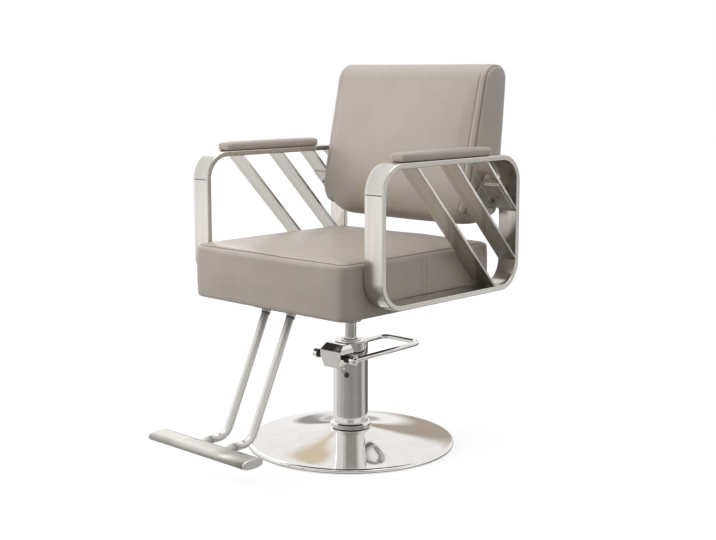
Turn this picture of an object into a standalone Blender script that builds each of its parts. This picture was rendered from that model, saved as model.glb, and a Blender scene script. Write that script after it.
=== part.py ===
"""Hydraulic hairdressing chair.

A round chrome base carries a pump column. Its pedal pumps a ram up out of the column, and the seat turns on
that ram. The seat carries two arms of flat bar with slanting slats, a wedge-shaped backrest and a footrest.

Metres, +Z up, the floor at Z = 0 and the column's axis at X = Y = 0. The sitter faces -Y.
"""

import math

import bmesh
import bpy
from mathutils import Matrix, Vector

# Seam between pieces that touch, and clearance of pieces that run in each other
GAP = 0.0003

# Base and column
BASE_DIAMETER = 0.540
BASE_PLATE_THICKNESS = 0.008
BASE_PLATE_EDGE_CLEARANCE = 0.0035
DISH_WALL = 0.0015
DISH_FLOOR_GAP = 0.0008
DISH_LIP_HEIGHT = 0.0035
DISH_ROLL_RADIUS = 0.0085
DISH_CONE_RISE = 0.034
DISH_FLARE_POWER = 1.35
DISH_NECK_CLEARANCE = 0.0012
COLLAR_WIDTH = 0.009
COLLAR_HEIGHT = 0.014
COLLAR_CHAMFER = 0.003
COLUMN_DIAMETER = 0.090
COLUMN_WALL = 0.004
COLUMN_TOP_HEIGHT = 0.234
FLANGE_WIDTH = 0.030
FLANGE_THICKNESS = 0.010
CYLINDER_BORE = 0.044
CYLINDER_WALL = 0.004

# Pump head, its lever block and the pump inside it
HEAD_HEIGHT = 0.042
HEAD_CHAMFER = 0.002
HEAD_NECK_HEIGHT = 0.007
HEAD_NECK_INSET = 0.0025
BLOCK_REACH = 0.0305
BLOCK_WIDTH = 0.072
BLOCK_TOP_WIDTH = 0.060
BLOCK_FOOT_WIDTH = 0.044
BLOCK_DROP = 0.020
BLOCK_FOOT_CHAMFER = 0.0255
BLOCK_SLOPE_HEIGHT = 0.0165
BLOCK_SLOPE_DEPTH = 0.015
SHAFT_DIAMETER = 0.014
SHAFT_STANDOFF = 0.012
SHAFT_RISE = 0.0057
SHAFT_END_DOME = 0.003
ROCKER_THICKNESS = 0.013
ROCKER_HUB_WALL = 0.0035
ROCKER_ARM = 0.019
ROCKER_NOSE_RADIUS = 0.004
POCKET_CLEARANCE = 0.0015
PLUNGER_DIAMETER = 0.012
PLUNGER_LENGTH = 0.015
PLUNGER_BORE_WALL = 0.0015
SPRING_WIRE = 0.0012
SPRING_CLEARANCE = 0.0008
SPRING_TURNS = 6
RAM_DIAMETER = 0.030
GLAND_WALL = 0.0045
GLAND_FLANGE_WIDTH = 0.007
GLAND_FLANGE_HEIGHT = 0.002
GLAND_SPIGOT_LENGTH = 0.022
WIPER_WIDTH = 0.003
WIPER_DEPTH = 0.004
WIPER_PROUD = 0.0008
PISTON_FLOOR_HEIGHT = 0.030
PISTON_HEIGHT = 0.025
PISTON_SOCKET_DEPTH = 0.010
PISTON_SEAL_HEIGHT = 0.005
PISTON_SEAL_DEPTH = 0.003
PISTON_SEAL_RISE = 0.004
PLUG_DIAMETER = 0.010
PLUG_HEAD_DIAMETER = 0.014
PLUG_HEAD_HEIGHT = 0.003
PLUG_HEIGHT = 0.192
PLUG_TURN = math.radians(30)

# Pedal lever
LEVER_ROD_DIAMETER = 0.0135
LEVER_LENGTH = 0.260
LEVER_RISE = 0.005
LEVER_SIDE_CLEARANCE = 0.013
LEVER_CORNER_RADIUS = 0.024
LEVER_EYE_WALL = 0.005
LEVER_EYE_LENGTH = 0.014

# Seat
SEAT_WIDTH = 0.536
SEAT_DEPTH = 0.553
SEAT_THICKNESS = 0.134
SEAT_CROWN = 0.011
SEAT_DRAW_IN = 0.003
SEAT_CORNER_RADIUS = 0.030
SEAT_EDGE_RADIUS = 0.010
SEAT_BOTTOM_HEIGHT = 0.397
SEAT_CENTRE_Y = -0.0285
BOARD_MARGIN = 0.032
BOARD_THICKNESS = 0.012
SEAT_PLATE_SIZE = 0.200
SEAT_PLATE_THICKNESS = 0.005
HUB_WALL = 0.0127
HUB_LENGTH = 0.066
SEAT_BOLT_SPACING = 0.150

# Arms
ARM_SIDE_CLEARANCE = 0.0045
ARM_BAR_WIDTH = 0.0564
ARM_BAR_THICKNESS = 0.0133
ARM_LENGTH = 0.519
ARM_HEIGHT = 0.340
ARM_CORNER_RADIUS = 0.070
ARM_FRONT_SETBACK = 0.0622
ARM_BOTTOM_RISE = 0.022
SLAT_THICKNESS = 0.007
SLAT_ANGLE = math.radians(46.3)
FRONT_SLAT_SETBACK = 0.0273
MIDDLE_SLAT_RISE = 0.0063
REAR_SLAT_RISE = 0.1237
PAD_LENGTH = 0.332
PAD_WIDTH = 0.052
PAD_THICKNESS = 0.020
PAD_CROWN = 0.002
PAD_DRAW_IN = 0.001
PAD_CORNER_RADIUS = 0.014
PAD_EDGE_RADIUS = 0.008
PAD_SETBACK = 0.077
ARM_ANGLE_THICKNESS = 0.004
ARM_ANGLE_LENGTH = 0.240
ARM_ANGLE_REACH = 0.070
ARM_SCREW_SPACING = 0.180
ARM_SCREW_EDGE = 0.014

# Backrest
BACK_WIDTH = 0.532
BACK_HEIGHT = 0.407
BACK_GAP_ABOVE_SEAT = 0.044
BACK_FOOT_SETBACK = 0.114
BACK_FOOT_THICKNESS = 0.149
BACK_FRONT_LEAN = math.radians(12.9)
BACK_TUCK_HEIGHT = 0.115
BACK_TUCK_DEPTH = 0.040
BACK_REAR_LEAN = math.radians(4.2)
BACK_CROWN = 0.010
BACK_DRAW_IN = 0.003
BACK_CORNER_RADIUS = 0.038
BACK_FOOT_CORNER_RADIUS = 0.048
BACK_EDGE_RADIUS = 0.018
PANEL_MARGIN = 0.044
PANEL_THICKNESS = 0.010
PANEL_CORNER_RADIUS = 0.030
BRACKET_THICKNESS = 0.004
BRACKET_LENGTH = 0.086
BRACKET_FOOT_CLEARANCE = 0.009
BRACKET_WEB = 0.036
BRACKET_FLANGE = 0.058
BRACKET_SIDE_CLEARANCE = 0.0008
BACK_BOLT_FROM_FOOT = 0.028
BACK_BOLT_FROM_SLAT = 0.013
BACK_BOLT_DEPTH = 0.022

# Footrest
FOOT_TUBE_DIAMETER = 0.020
FOOT_TUBE_SPACING = 0.087
FOOT_TUBE_TILT = math.radians(25.3)
FOOT_TUBE_TOP_Y = -0.2507
FOOT_TUBE_BEND_RADIUS = 0.080
FOOT_TUBE_END_RUN = 0.003
SOCKET_WALL = 0.0015
SOCKET_LENGTH = 0.012
FERRULE_LENGTH = 0.006
FOOT_BAR_LENGTH = 0.342
FOOT_BAR_DEPTH = 0.060
FOOT_BAR_HEIGHT = 0.022
FOOT_BAR_WALL = 0.0015
FOOT_BAR_ROUND = 0.0105
FOOT_BAR_CENTRE_HEIGHT = 0.096
FOOT_LUG_WIDTH = 0.014
FOOT_LUG_HEIGHT = 0.012
FOOT_LUG_LENGTH = 0.023
END_CAP_THICKNESS = 0.004
TONGUE_MARGIN = 0.012
TONGUE_TAPER = 0.020

# Fasteners: shank diameter, head diameter and head height
BOLT = (0.008, 0.013, 0.0055)
SCREW = (0.005, 0.009, 0.0025)

# Facets of round pieces and of soft forms
LARGE_SIDES = 48
ROUND_SIDES = 32
SMALL_SIDES = 16
HOLE_SIDES = 10
FASTENER_SIDES = 6
BEND_STEPS = 6
CUSHION_DIVISIONS = 12
PAD_DIVISIONS = 6
EDGE_CROWDING = 1.7

# Places worked out from the sizes above
column_r = COLUMN_DIAMETER / 2
cylinder_r = CYLINDER_BORE / 2
ram_r = RAM_DIAMETER / 2
shaft_r = SHAFT_DIAMETER / 2
flange_top = BASE_PLATE_THICKNESS + GAP + FLANGE_THICKNESS
bolt_circle_r = column_r + FLANGE_WIDTH / 2
head_bottom = COLUMN_TOP_HEIGHT + GAP
head_top = head_bottom + HEAD_HEIGHT
gland_r = ram_r + GAP + GLAND_WALL
head_bore_r = gland_r + GAP
shaft_y = -(column_r + SHAFT_STANDOFF)
shaft_z = head_bottom + SHAFT_RISE
block_front = -(column_r + BLOCK_REACH)
rocker_hub_r = shaft_r + GAP + ROCKER_HUB_WALL
plunger_z = shaft_z + ROCKER_ARM
plunger_front = shaft_y + ROCKER_NOSE_RADIUS + GAP
plunger_bore_end = -(head_bore_r + PLUNGER_BORE_WALL)
lever_half = column_r + LEVER_SIDE_CLEARANCE + LEVER_ROD_DIAMETER / 2
piston_bottom = PISTON_FLOOR_HEIGHT
piston_top = piston_bottom + PISTON_HEIGHT

seat_front = SEAT_CENTRE_Y - SEAT_DEPTH / 2
seat_rear = SEAT_CENTRE_Y + SEAT_DEPTH / 2
seat_welt = SEAT_BOTTOM_HEIGHT + SEAT_THICKNESS
plate_top = SEAT_BOTTOM_HEIGHT - GAP
plate_bottom = plate_top - SEAT_PLATE_THICKNESS
hub_top = plate_bottom - GAP

arm_inner = SEAT_WIDTH / 2 + ARM_SIDE_CLEARANCE
arm_outer = arm_inner + ARM_BAR_WIDTH
arm_front = seat_front + ARM_FRONT_SETBACK
arm_rear = arm_front + ARM_LENGTH
arm_bottom = SEAT_BOTTOM_HEIGHT + ARM_BOTTOM_RISE
arm_top = arm_bottom + ARM_HEIGHT
slat_ceiling = arm_top - ARM_BAR_THICKNESS - GAP
slat_floor = arm_bottom + ARM_BAR_THICKNESS + GAP
slat_back = arm_rear - ARM_BAR_THICKNESS - GAP

back_bottom = seat_welt + BACK_GAP_ABOVE_SEAT
back_foot_y = seat_rear - BACK_FOOT_SETBACK
tube_r = FOOT_TUBE_DIAMETER / 2
tube_down = Vector((0, -math.sin(FOOT_TUBE_TILT), -math.cos(FOOT_TUBE_TILT)))

PARTS = "hydraulic_hairdressing_chair"
CUTTERS = "cutters"


# Scene, materials and joints


def clear_scene():
    for thing in list(bpy.data.objects):
        bpy.data.objects.remove(thing)
    for name in (PARTS, CUTTERS):
        bpy.context.scene.collection.children.link(bpy.data.collections.new(name))


def finish(name, colour, roughness, metallic):
    made = bpy.data.materials.new(name)
    made.use_nodes = True
    shader = made.node_tree.nodes["Principled BSDF"]
    shader.inputs["Base Color"].default_value = (*colour, 1)
    shader.inputs["Roughness"].default_value = roughness
    shader.inputs["Metallic"].default_value = metallic
    return made


def joint_frame(name, location, parent=None):
    """An empty on a joint's axis, which carries the pieces that the joint moves."""
    frame = bpy.data.objects.new(name, None)
    frame.location = location
    frame.parent = parent
    bpy.data.collections[PARTS].objects.link(frame)
    return frame


# Shapes


def add_object(name, mesh, frame=None, material=None):
    """A piece carried by a joint frame, or a cutter where no frame is given."""
    made = bpy.data.objects.new(name, mesh)
    if frame is None:
        bpy.data.collections[CUTTERS].objects.link(made)
        made.hide_render = True
        made.display_type = "WIRE"
        return made
    bpy.data.collections[PARTS].objects.link(made)
    made.parent = frame
    mesh.materials.clear()
    mesh.materials.append(material)
    mesh.shade_smooth()
    mesh.set_sharp_from_angle(angle=math.radians(35))
    return made


def mesh_of(fill):
    """A mesh made by fill, which works on a bmesh."""
    shape = bmesh.new()
    fill(shape)
    mesh = bpy.data.meshes.new("shape")
    shape.to_mesh(mesh)
    shape.free()
    return mesh


def along(direction):
    """The rotation that turns +Z to the direction."""
    return Vector(direction).to_track_quat("Z", "Y").to_matrix().to_4x4()


def cylinder(radius, start, end, sides=ROUND_SIDES):
    """Mesh of a round bar between two points."""
    start, end = Vector(start), Vector(end)
    place = Matrix.Translation((start + end) / 2) @ along(end - start)

    def fill(shape):
        bmesh.ops.create_cone(
            shape,
            cap_ends=True,
            segments=sides,
            radius1=radius,
            radius2=radius,
            depth=(end - start).length,
            matrix=place,
        )

    return mesh_of(fill)


def block(low, high, rotation=None):
    """Mesh of a box between two corners, turned about its own centre."""
    low, high = Vector(low), Vector(high)
    place = Matrix.Translation((low + high) / 2) @ (rotation or Matrix()) @ Matrix.Diagonal((*(high - low), 1))
    return mesh_of(lambda shape: bmesh.ops.create_cube(shape, size=1, matrix=place))


def turned(name, profile, frame=None, material=None, closed=True, sides=ROUND_SIDES):
    """A turned piece: radius and height pairs, down the outer side, about the frame's Z axis."""

    def fill(shape):
        points = [shape.verts.new((r, 0, z)) for r, z in profile]
        for first, second in zip(points, points[1:]):
            shape.edges.new((first, second))
        if closed:
            shape.edges.new((points[-1], points[0]))

    made = add_object(name, mesh_of(fill), frame, material)
    screw = made.modifiers.new("turn", "SCREW")
    screw.axis = "Z"
    screw.steps = sides
    screw.render_steps = sides
    screw.use_merge_vertices = True
    screw.merge_threshold = 0.00001
    screw.use_smooth_shade = True
    return made


def evaluated_mesh(thing):
    """The mesh of a curve or of an object with modifiers, with its loose caps welded."""
    bpy.context.view_layer.update()
    graph = bpy.context.evaluated_depsgraph_get()
    mesh = bpy.data.meshes.new_from_object(thing.evaluated_get(graph))
    shape = bmesh.new()
    shape.from_mesh(mesh)
    bmesh.ops.remove_doubles(shape, verts=shape.verts, dist=0.000001)
    bmesh.ops.recalc_face_normals(shape, faces=shape.faces)
    shape.to_mesh(mesh)
    shape.free()
    bpy.data.objects.remove(thing)
    return mesh


def extruded(outlines, depth, place):
    """Mesh of flat outlines, the later ones holes, from the place's XY plane along its +Z."""
    curve = bpy.data.curves.new("outline", "CURVE")
    curve.dimensions = "2D"
    curve.fill_mode = "BOTH"
    curve.extrude = depth / 2
    for outline in outlines:
        spline = curve.splines.new("POLY")
        spline.points.add(len(outline) - 1)
        for point, (x, y) in zip(spline.points, outline):
            point.co = (x, y, 0, 1)
        spline.use_cyclic_u = True
    guide = bpy.data.objects.new("outline", curve)
    bpy.context.scene.collection.objects.link(guide)
    mesh = evaluated_mesh(guide)
    mesh.transform(place @ Matrix.Translation((0, 0, depth / 2)))
    return mesh


def rod(points, radius, resolution):
    """Mesh of a round rod along points."""
    curve = bpy.data.curves.new("path", "CURVE")
    curve.dimensions = "3D"
    curve.bevel_depth = radius
    curve.bevel_resolution = resolution
    curve.use_fill_caps = True
    spline = curve.splines.new("POLY")
    spline.points.add(len(points) - 1)
    for point, where in zip(spline.points, points):
        point.co = (*where, 1)
    guide = bpy.data.objects.new("path", curve)
    bpy.context.scene.collection.objects.link(guide)
    return evaluated_mesh(guide)


def boolean(piece, mesh, operation="DIFFERENCE"):
    """Cuts the mesh from the piece, or joins it on. The mesh is in the piece's own space."""
    other = add_object(f"{piece.name}_{operation.lower()}_{len(piece.modifiers)}", mesh)
    other.matrix_world = world_of(piece)
    step = piece.modifiers.new(operation.lower(), "BOOLEAN")
    step.operation = operation
    step.solver = "EXACT"
    step.object = other


def world_of(piece):
    bpy.context.view_layer.update()
    return piece.matrix_world


def rounded_outline(width, height, radius, steps=BEND_STEPS):
    """Corners of a rectangle about the origin, rounded, counter-clockwise."""
    points = []
    for turn, (sx, sy) in enumerate(((1, 1), (-1, 1), (-1, -1), (1, -1))):
        centre = Vector((sx * (width / 2 - radius), sy * (height / 2 - radius)))
        for step in range(steps + 1):
            angle = (turn + step / steps) * math.pi / 2
            points.append(centre + radius * Vector((math.cos(angle), math.sin(angle))))
    return [tuple(point) for point in points]


def circle_outline(radius, centre=(0, 0), sides=SMALL_SIDES):
    turns = [2 * math.pi * step / sides for step in range(sides)]
    return [(centre[0] + radius * math.cos(a), centre[1] + radius * math.sin(a)) for a in turns]


def frame_of(origin, x_axis, y_axis):
    """The matrix whose X and Y axes are these, and whose Z axis is square to both."""
    x_axis, y_axis = Vector(x_axis), Vector(y_axis)
    turn = Matrix((x_axis, y_axis, x_axis.cross(y_axis))).transposed().to_4x4()
    return Matrix.Translation(origin) @ turn


def fastener(name, kind, seat, direction, length, frame, material):
    """A bolt or screw whose head lies against a seat and whose shank runs along the direction."""
    shank, head, height = kind
    seat, direction = Vector(seat), Vector(direction).normalized()
    mesh = cylinder(head / 2, seat - direction * (GAP + height), seat - direction * GAP, FASTENER_SIDES)
    made = add_object(name, mesh, frame, material)
    overlap = height / 2
    shaft = cylinder(shank / 2, seat - direction * overlap, seat + direction * length, HOLE_SIDES)
    boolean(made, shaft, "UNION")
    return made


def hole_for(kind, seat, direction, length):
    """Cutter for a fastener's shank, past both ends of it."""
    seat, direction = Vector(seat), Vector(direction).normalized()
    past = direction * 0.001
    return cylinder(kind[0] / 2 + GAP, seat - past, seat + direction * length + past, HOLE_SIDES)


def soft_block(half, corner, edge, draw_in, divisions):
    """Mesh of a cushion about the origin: a slab in XY with round corners and round upper and lower edges.

    Its sides pull in between the corners. Its points crowd towards the edges.
    """
    half = Vector(half)

    def spread(value):
        return math.copysign(1 - (1 - min(abs(value), 1)) ** EDGE_CROWDING, value)

    def place(point):
        x, y, z = (spread(c) * h for c, h in zip(point, half))
        core = half.xy - Vector((corner, corner))
        inner = Vector(max(-c, min(c, p)) for c, p in zip(core, (x, y)))
        out = Vector((x, y)) - inner
        if out.length > 0:
            out *= max(abs(out.x), abs(out.y)) / out.length
        over = (out.length - corner + edge) / edge
        rise = (abs(z) - half.z + edge) / edge
        if over > 0 and rise > 0:
            share = max(over, rise) / math.hypot(over, rise)
            out *= (corner - edge + over * share * edge) / out.length
            z = math.copysign(half.z - edge + rise * share * edge, z)
        spot = inner + out
        pull_x = draw_in * crown(spot.y, half.y) * (spot.x / half.x) ** 3
        pull_y = draw_in * crown(spot.x, half.x) * (spot.y / half.y) ** 3
        return spot.x - pull_x, spot.y - pull_y, z

    def fill(shape):
        bmesh.ops.create_cube(shape, size=2)
        bmesh.ops.subdivide_edges(shape, edges=shape.edges[:], cuts=divisions - 1, use_grid_fill=True)
        for vert in shape.verts:
            vert.co = place(vert.co)

    return mesh_of(fill)


def crown(value, half):
    """1 in the middle of a face, 0 at its edges."""
    return max(1 - (value / half) ** 2, 0)


# Base, column and pump


def bolt_places():
    turns = [math.radians(45 + 90 * step) for step in range(4)]
    return [(bolt_circle_r * math.cos(a), bolt_circle_r * math.sin(a), flange_top) for a in turns]


def build_base_plate(frame, steel):
    radius = BASE_DIAMETER / 2 - DISH_WALL - BASE_PLATE_EDGE_CLEARANCE
    plate = add_object(
        "base_plate", cylinder(radius, (0, 0, 0), (0, 0, BASE_PLATE_THICKNESS), LARGE_SIDES), frame, steel
    )
    for x, y, z in bolt_places():
        boolean(plate, hole_for(BOLT, (x, y, z), (0, 0, -1), z))


def dish_profile():
    """Outer surface of the dish, from its neck down to the lip of its rim."""
    rim = BASE_DIAMETER / 2
    roll_top = DISH_FLOOR_GAP + DISH_LIP_HEIGHT + DISH_ROLL_RADIUS
    cone_edge = rim - DISH_ROLL_RADIUS
    neck = column_r + DISH_NECK_CLEARANCE
    points = []
    for step in range(8):
        share = step / 8
        radius = neck + (cone_edge - neck) * share**1.4
        points.append((radius, roll_top + DISH_CONE_RISE * (1 - share**1.4) ** DISH_FLARE_POWER))
    for step in range(4):
        angle = math.pi / 2 * (1 - step / 3)
        radius = cone_edge + DISH_ROLL_RADIUS * math.cos(angle)
        points.append((radius, roll_top - DISH_ROLL_RADIUS * (1 - math.sin(angle))))
    points.append((rim, DISH_FLOOR_GAP))
    return points


def build_dish(frame, chrome):
    dish = turned("base_dish", dish_profile(), frame, chrome, closed=False, sides=LARGE_SIDES)
    wall = dish.modifiers.new("wall", "SOLIDIFY")
    wall.thickness = DISH_WALL
    wall.offset = -1
    wall.use_even_offset = True


def build_column(frame, chrome, steel):
    bore = column_r - COLUMN_WALL
    foot = BASE_PLATE_THICKNESS + GAP
    column = turned(
        "column_tube",
        [
            (bore, COLUMN_TOP_HEIGHT),
            (column_r, COLUMN_TOP_HEIGHT),
            (column_r, flange_top),
            (column_r + FLANGE_WIDTH, flange_top),
            (column_r + FLANGE_WIDTH, foot),
            (bore, foot),
        ],
        frame,
        chrome,
        sides=LARGE_SIDES,
    )
    for index, place in enumerate(bolt_places()):
        length = place[2] - GAP
        boolean(column, hole_for(BOLT, place, (0, 0, -1), FLANGE_THICKNESS))
        fastener(f"column_bolt_{index + 1}", BOLT, place, (0, 0, -1), length, frame, steel)

    out = Vector((math.sin(PLUG_TURN), -math.cos(PLUG_TURN), 0))
    seat = out * column_r + Vector((0, 0, PLUG_HEIGHT))
    tapping = cylinder(PLUG_DIAMETER / 2 + GAP, seat + out * 0.002, seat - out * 2 * COLUMN_WALL, SMALL_SIDES)
    boolean(column, tapping)
    plug = cylinder(PLUG_HEAD_DIAMETER / 2, seat + out * GAP, seat + out * PLUG_HEAD_HEIGHT, SMALL_SIDES)
    plug = add_object("oil_plug", plug, frame, steel)
    inner = seat - out * COLUMN_WALL
    boolean(plug, cylinder(PLUG_DIAMETER / 2, seat + out * PLUG_HEAD_HEIGHT / 2, inner, SMALL_SIDES), "UNION")

    collar_foot = dish_profile()[0][1] + GAP
    collar_top = collar_foot + COLLAR_HEIGHT
    turned(
        "column_collar",
        [
            (column_r + GAP, collar_top),
            (column_r + COLLAR_WIDTH - COLLAR_CHAMFER, collar_top),
            (column_r + COLLAR_WIDTH, collar_top - COLLAR_CHAMFER),
            (column_r + COLLAR_WIDTH, collar_foot),
            (column_r + GAP, collar_foot),
        ],
        frame,
        chrome,
        sides=LARGE_SIDES,
    )
    turned(
        "cylinder_tube",
        [
            (cylinder_r, COLUMN_TOP_HEIGHT),
            (cylinder_r + CYLINDER_WALL, COLUMN_TOP_HEIGHT),
            (cylinder_r + CYLINDER_WALL, foot),
            (cylinder_r, foot),
        ],
        frame,
        steel,
    )


def block_shape():
    """The lever block: its side view across X, trimmed by its front view along Y."""
    foot = head_bottom - BLOCK_DROP
    top = head_top - HEAD_CHAMFER
    slope_foot = top - BLOCK_SLOPE_HEIGHT
    inside = -head_bore_r / 2
    side_view = [
        (block_front, foot),
        (inside, foot),
        (inside, top),
        (block_front + BLOCK_SLOPE_DEPTH, top),
        (block_front, slope_foot),
    ]
    half, top_half, foot_half = BLOCK_WIDTH / 2, BLOCK_TOP_WIDTH / 2, BLOCK_FOOT_WIDTH / 2
    over, under = top + 0.001, foot - 0.001
    front_view = [
        (-foot_half, under),
        (foot_half, under),
        (half, foot + BLOCK_FOOT_CHAMFER),
        (half, slope_foot),
        (top_half, over),
        (-top_half, over),
        (-half, slope_foot),
        (-half, foot + BLOCK_FOOT_CHAMFER),
    ]
    side = extruded([side_view], BLOCK_WIDTH + 0.01, frame_of((-half - 0.005, 0, 0), (0, 1, 0), (0, 0, 1)))
    front = extruded([front_view], abs(block_front) + 0.02, frame_of((0, 0.01, 0), (1, 0, 0), (0, 0, 1)))
    return side, front


def build_head(frame, chrome, steel, rubber):
    side, front = block_shape()
    casting = add_object("lever_block_shape", side)
    boolean(casting, front, "INTERSECT")
    block_mesh = evaluated_mesh(casting)

    head = turned(
        "pump_head",
        [
            (0, head_top),
            (column_r - HEAD_CHAMFER, head_top),
            (column_r, head_top - HEAD_CHAMFER),
            (column_r, head_bottom + HEAD_NECK_HEIGHT),
            (column_r - HEAD_NECK_INSET, head_bottom + HEAD_NECK_HEIGHT),
            (column_r - HEAD_NECK_INSET, head_bottom),
            (0, head_bottom),
        ],
        frame,
        chrome,
        closed=False,
        sides=LARGE_SIDES,
    )
    boolean(head, block_mesh, "UNION")
    under = head_bottom - 2 * BLOCK_DROP
    boolean(head, cylinder(column_r + GAP, (0, 0, under), (0, 0, head_bottom), LARGE_SIDES))
    reach = rocker_hub_r + POCKET_CLEARANCE
    boolean(
        head,
        block(
            (-ROCKER_THICKNESS / 2 - POCKET_CLEARANCE / 2, shaft_y - reach, under),
            (
                ROCKER_THICKNESS / 2 + POCKET_CLEARANCE / 2,
                shaft_y + reach + POCKET_CLEARANCE,
                plunger_z + ROCKER_NOSE_RADIUS + POCKET_CLEARANCE,
            ),
        ),
    )
    boolean(head, cylinder(shaft_r + GAP, (-BLOCK_WIDTH, shaft_y, shaft_z), (BLOCK_WIDTH, shaft_y, shaft_z)))
    barrel_r = PLUNGER_DIAMETER / 2 + GAP
    boolean(head, cylinder(barrel_r, (0, shaft_y, plunger_z), (0, plunger_bore_end, plunger_z), SMALL_SIDES))
    boolean(head, cylinder(head_bore_r, (0, 0, under), (0, 0, head_top + 0.01)))

    gland_top = head_top + GAP + GLAND_FLANGE_HEIGHT
    recess = ram_r + GAP + WIPER_WIDTH
    turned(
        "gland_nut",
        [
            (recess, gland_top),
            (gland_r + GLAND_FLANGE_WIDTH, gland_top),
            (gland_r + GLAND_FLANGE_WIDTH, head_top + GAP),
            (gland_r, head_top + GAP),
            (gland_r, head_top - GLAND_SPIGOT_LENGTH),
            (ram_r + GAP, head_top - GLAND_SPIGOT_LENGTH),
            (ram_r + GAP, gland_top - WIPER_DEPTH),
            (recess, gland_top - WIPER_DEPTH),
        ],
        frame,
        steel,
    )
    turned(
        "wiper_seal",
        [
            (ram_r + GAP, gland_top + WIPER_PROUD),
            (recess - GAP, gland_top + WIPER_PROUD),
            (recess - GAP, gland_top - WIPER_DEPTH + GAP),
            (ram_r + GAP, gland_top - WIPER_DEPTH + GAP),
        ],
        frame,
        rubber,
    )


def build_piston(frame, steel, rubber):
    outer = cylinder_r - GAP
    socket = ram_r + GAP
    groove_foot = piston_bottom + PISTON_SEAL_RISE
    groove_top = groove_foot + PISTON_SEAL_HEIGHT
    groove = outer - PISTON_SEAL_DEPTH
    turned(
        "piston",
        [
            (0, piston_top - PISTON_SOCKET_DEPTH),
            (socket, piston_top - PISTON_SOCKET_DEPTH),
            (socket, piston_top),
            (outer, piston_top),
            (outer, groove_top),
            (groove, groove_top),
            (groove, groove_foot),
            (outer, groove_foot),
            (outer, piston_bottom),
            (0, piston_bottom),
        ],
        frame,
        steel,
        closed=False,
    )
    turned(
        "piston_seal",
        [
            (groove + GAP, groove_top - GAP),
            (outer, groove_top - GAP),
            (outer, groove_foot + GAP),
            (groove + GAP, groove_foot + GAP),
        ],
        frame,
        rubber,
    )


def build_pump(lever_frame, plunger_frame, chrome, steel):
    """The pedal lever on its shaft, and the rocker that presses the plunger, about the shaft's middle."""
    eye_in = lever_half - LEVER_EYE_LENGTH / 2
    eye_out = lever_half + LEVER_EYE_LENGTH / 2
    eye_r = shaft_r + GAP + LEVER_EYE_WALL
    start = shaft_r + GAP + LEVER_EYE_WALL / 2
    slope = LEVER_RISE / LEVER_LENGTH
    rear = LEVER_LENGTH - LEVER_CORNER_RADIUS
    right = [(lever_half, start, start * slope)]
    for step in range(BEND_STEPS + 1):
        angle = math.pi / 2 * step / BEND_STEPS
        x = lever_half - LEVER_CORNER_RADIUS * (1 - math.cos(angle))
        y = rear + LEVER_CORNER_RADIUS * math.sin(angle)
        right.append((x, y, y * slope))
    left = [(-x, y, z) for x, y, z in reversed(right)]
    lever = add_object("pedal_lever", rod(right + left, LEVER_ROD_DIAMETER / 2, 3), lever_frame, chrome)
    for side in (1, -1):
        boolean(lever, cylinder(eye_r, (side * eye_in, 0, 0), (side * eye_out, 0, 0), SMALL_SIDES), "UNION")
    boolean(lever, cylinder(shaft_r + GAP, (-2 * eye_out, 0, 0), (2 * eye_out, 0, 0), SMALL_SIDES))

    end = eye_out + SHAFT_END_DOME
    shaft = turned(
        "pedal_shaft",
        [
            (0, end),
            (shaft_r - SHAFT_END_DOME, end),
            (shaft_r, eye_out),
            (shaft_r, -eye_out),
            (shaft_r - SHAFT_END_DOME, -end),
            (0, -end),
        ],
        lever_frame,
        chrome,
        closed=False,
        sides=SMALL_SIDES,
    )
    shaft.rotation_euler = (0, math.pi / 2, 0)

    neck = math.acos(ROCKER_NOSE_RADIUS / rocker_hub_r)
    outline = []
    for centre, radius, first, last in (
        (0, rocker_hub_r, math.pi - neck, 2 * math.pi + neck),
        (ROCKER_ARM, ROCKER_NOSE_RADIUS, 0, math.pi),
    ):
        for step in range(13):
            angle = first + (last - first) * step / 12
            outline.append((radius * math.cos(angle), centre + radius * math.sin(angle)))
    place = frame_of((-ROCKER_THICKNESS / 2, 0, 0), (0, 1, 0), (0, 0, 1))
    rocker = extruded([outline, circle_outline(shaft_r + GAP)], ROCKER_THICKNESS, place)
    add_object("pump_rocker", rocker, lever_frame, steel)

    plunger = cylinder(PLUNGER_DIAMETER / 2, (0, 0, 0), (0, PLUNGER_LENGTH, 0), SMALL_SIDES)
    add_object("pump_plunger", plunger, plunger_frame, steel)


def build_spring(frame, steel):
    """The plunger's return spring: one open coil along Y, with a straight run of its tube at each end."""
    first = plunger_front + PLUNGER_LENGTH + GAP + SPRING_WIRE / 2
    last = plunger_bore_end - GAP - SPRING_WIRE / 2
    radius = PLUNGER_DIAMETER / 2 - SPRING_CLEARANCE - SPRING_WIRE / 2
    steps = SPRING_TURNS * 8
    points = []
    for step in range(steps + 1):
        angle = 2 * math.pi * SPRING_TURNS * step / steps
        y = first + (last - first) * step / steps
        points.append((radius * math.cos(angle), y, plunger_z + radius * math.sin(angle)))
    pitch = (last - first) / SPRING_TURNS
    print(f"plunger spring: least gap between turns {1000 * (pitch - SPRING_WIRE):.2f} mm")
    add_object("plunger_spring", rod(points, SPRING_WIRE / 2, 1), frame, steel)


# Seat


def seat_bolt_places():
    half = SEAT_BOLT_SPACING / 2
    return [(sx * half, sy * half, plate_bottom) for sx in (1, -1) for sy in (1, -1)]


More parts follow.
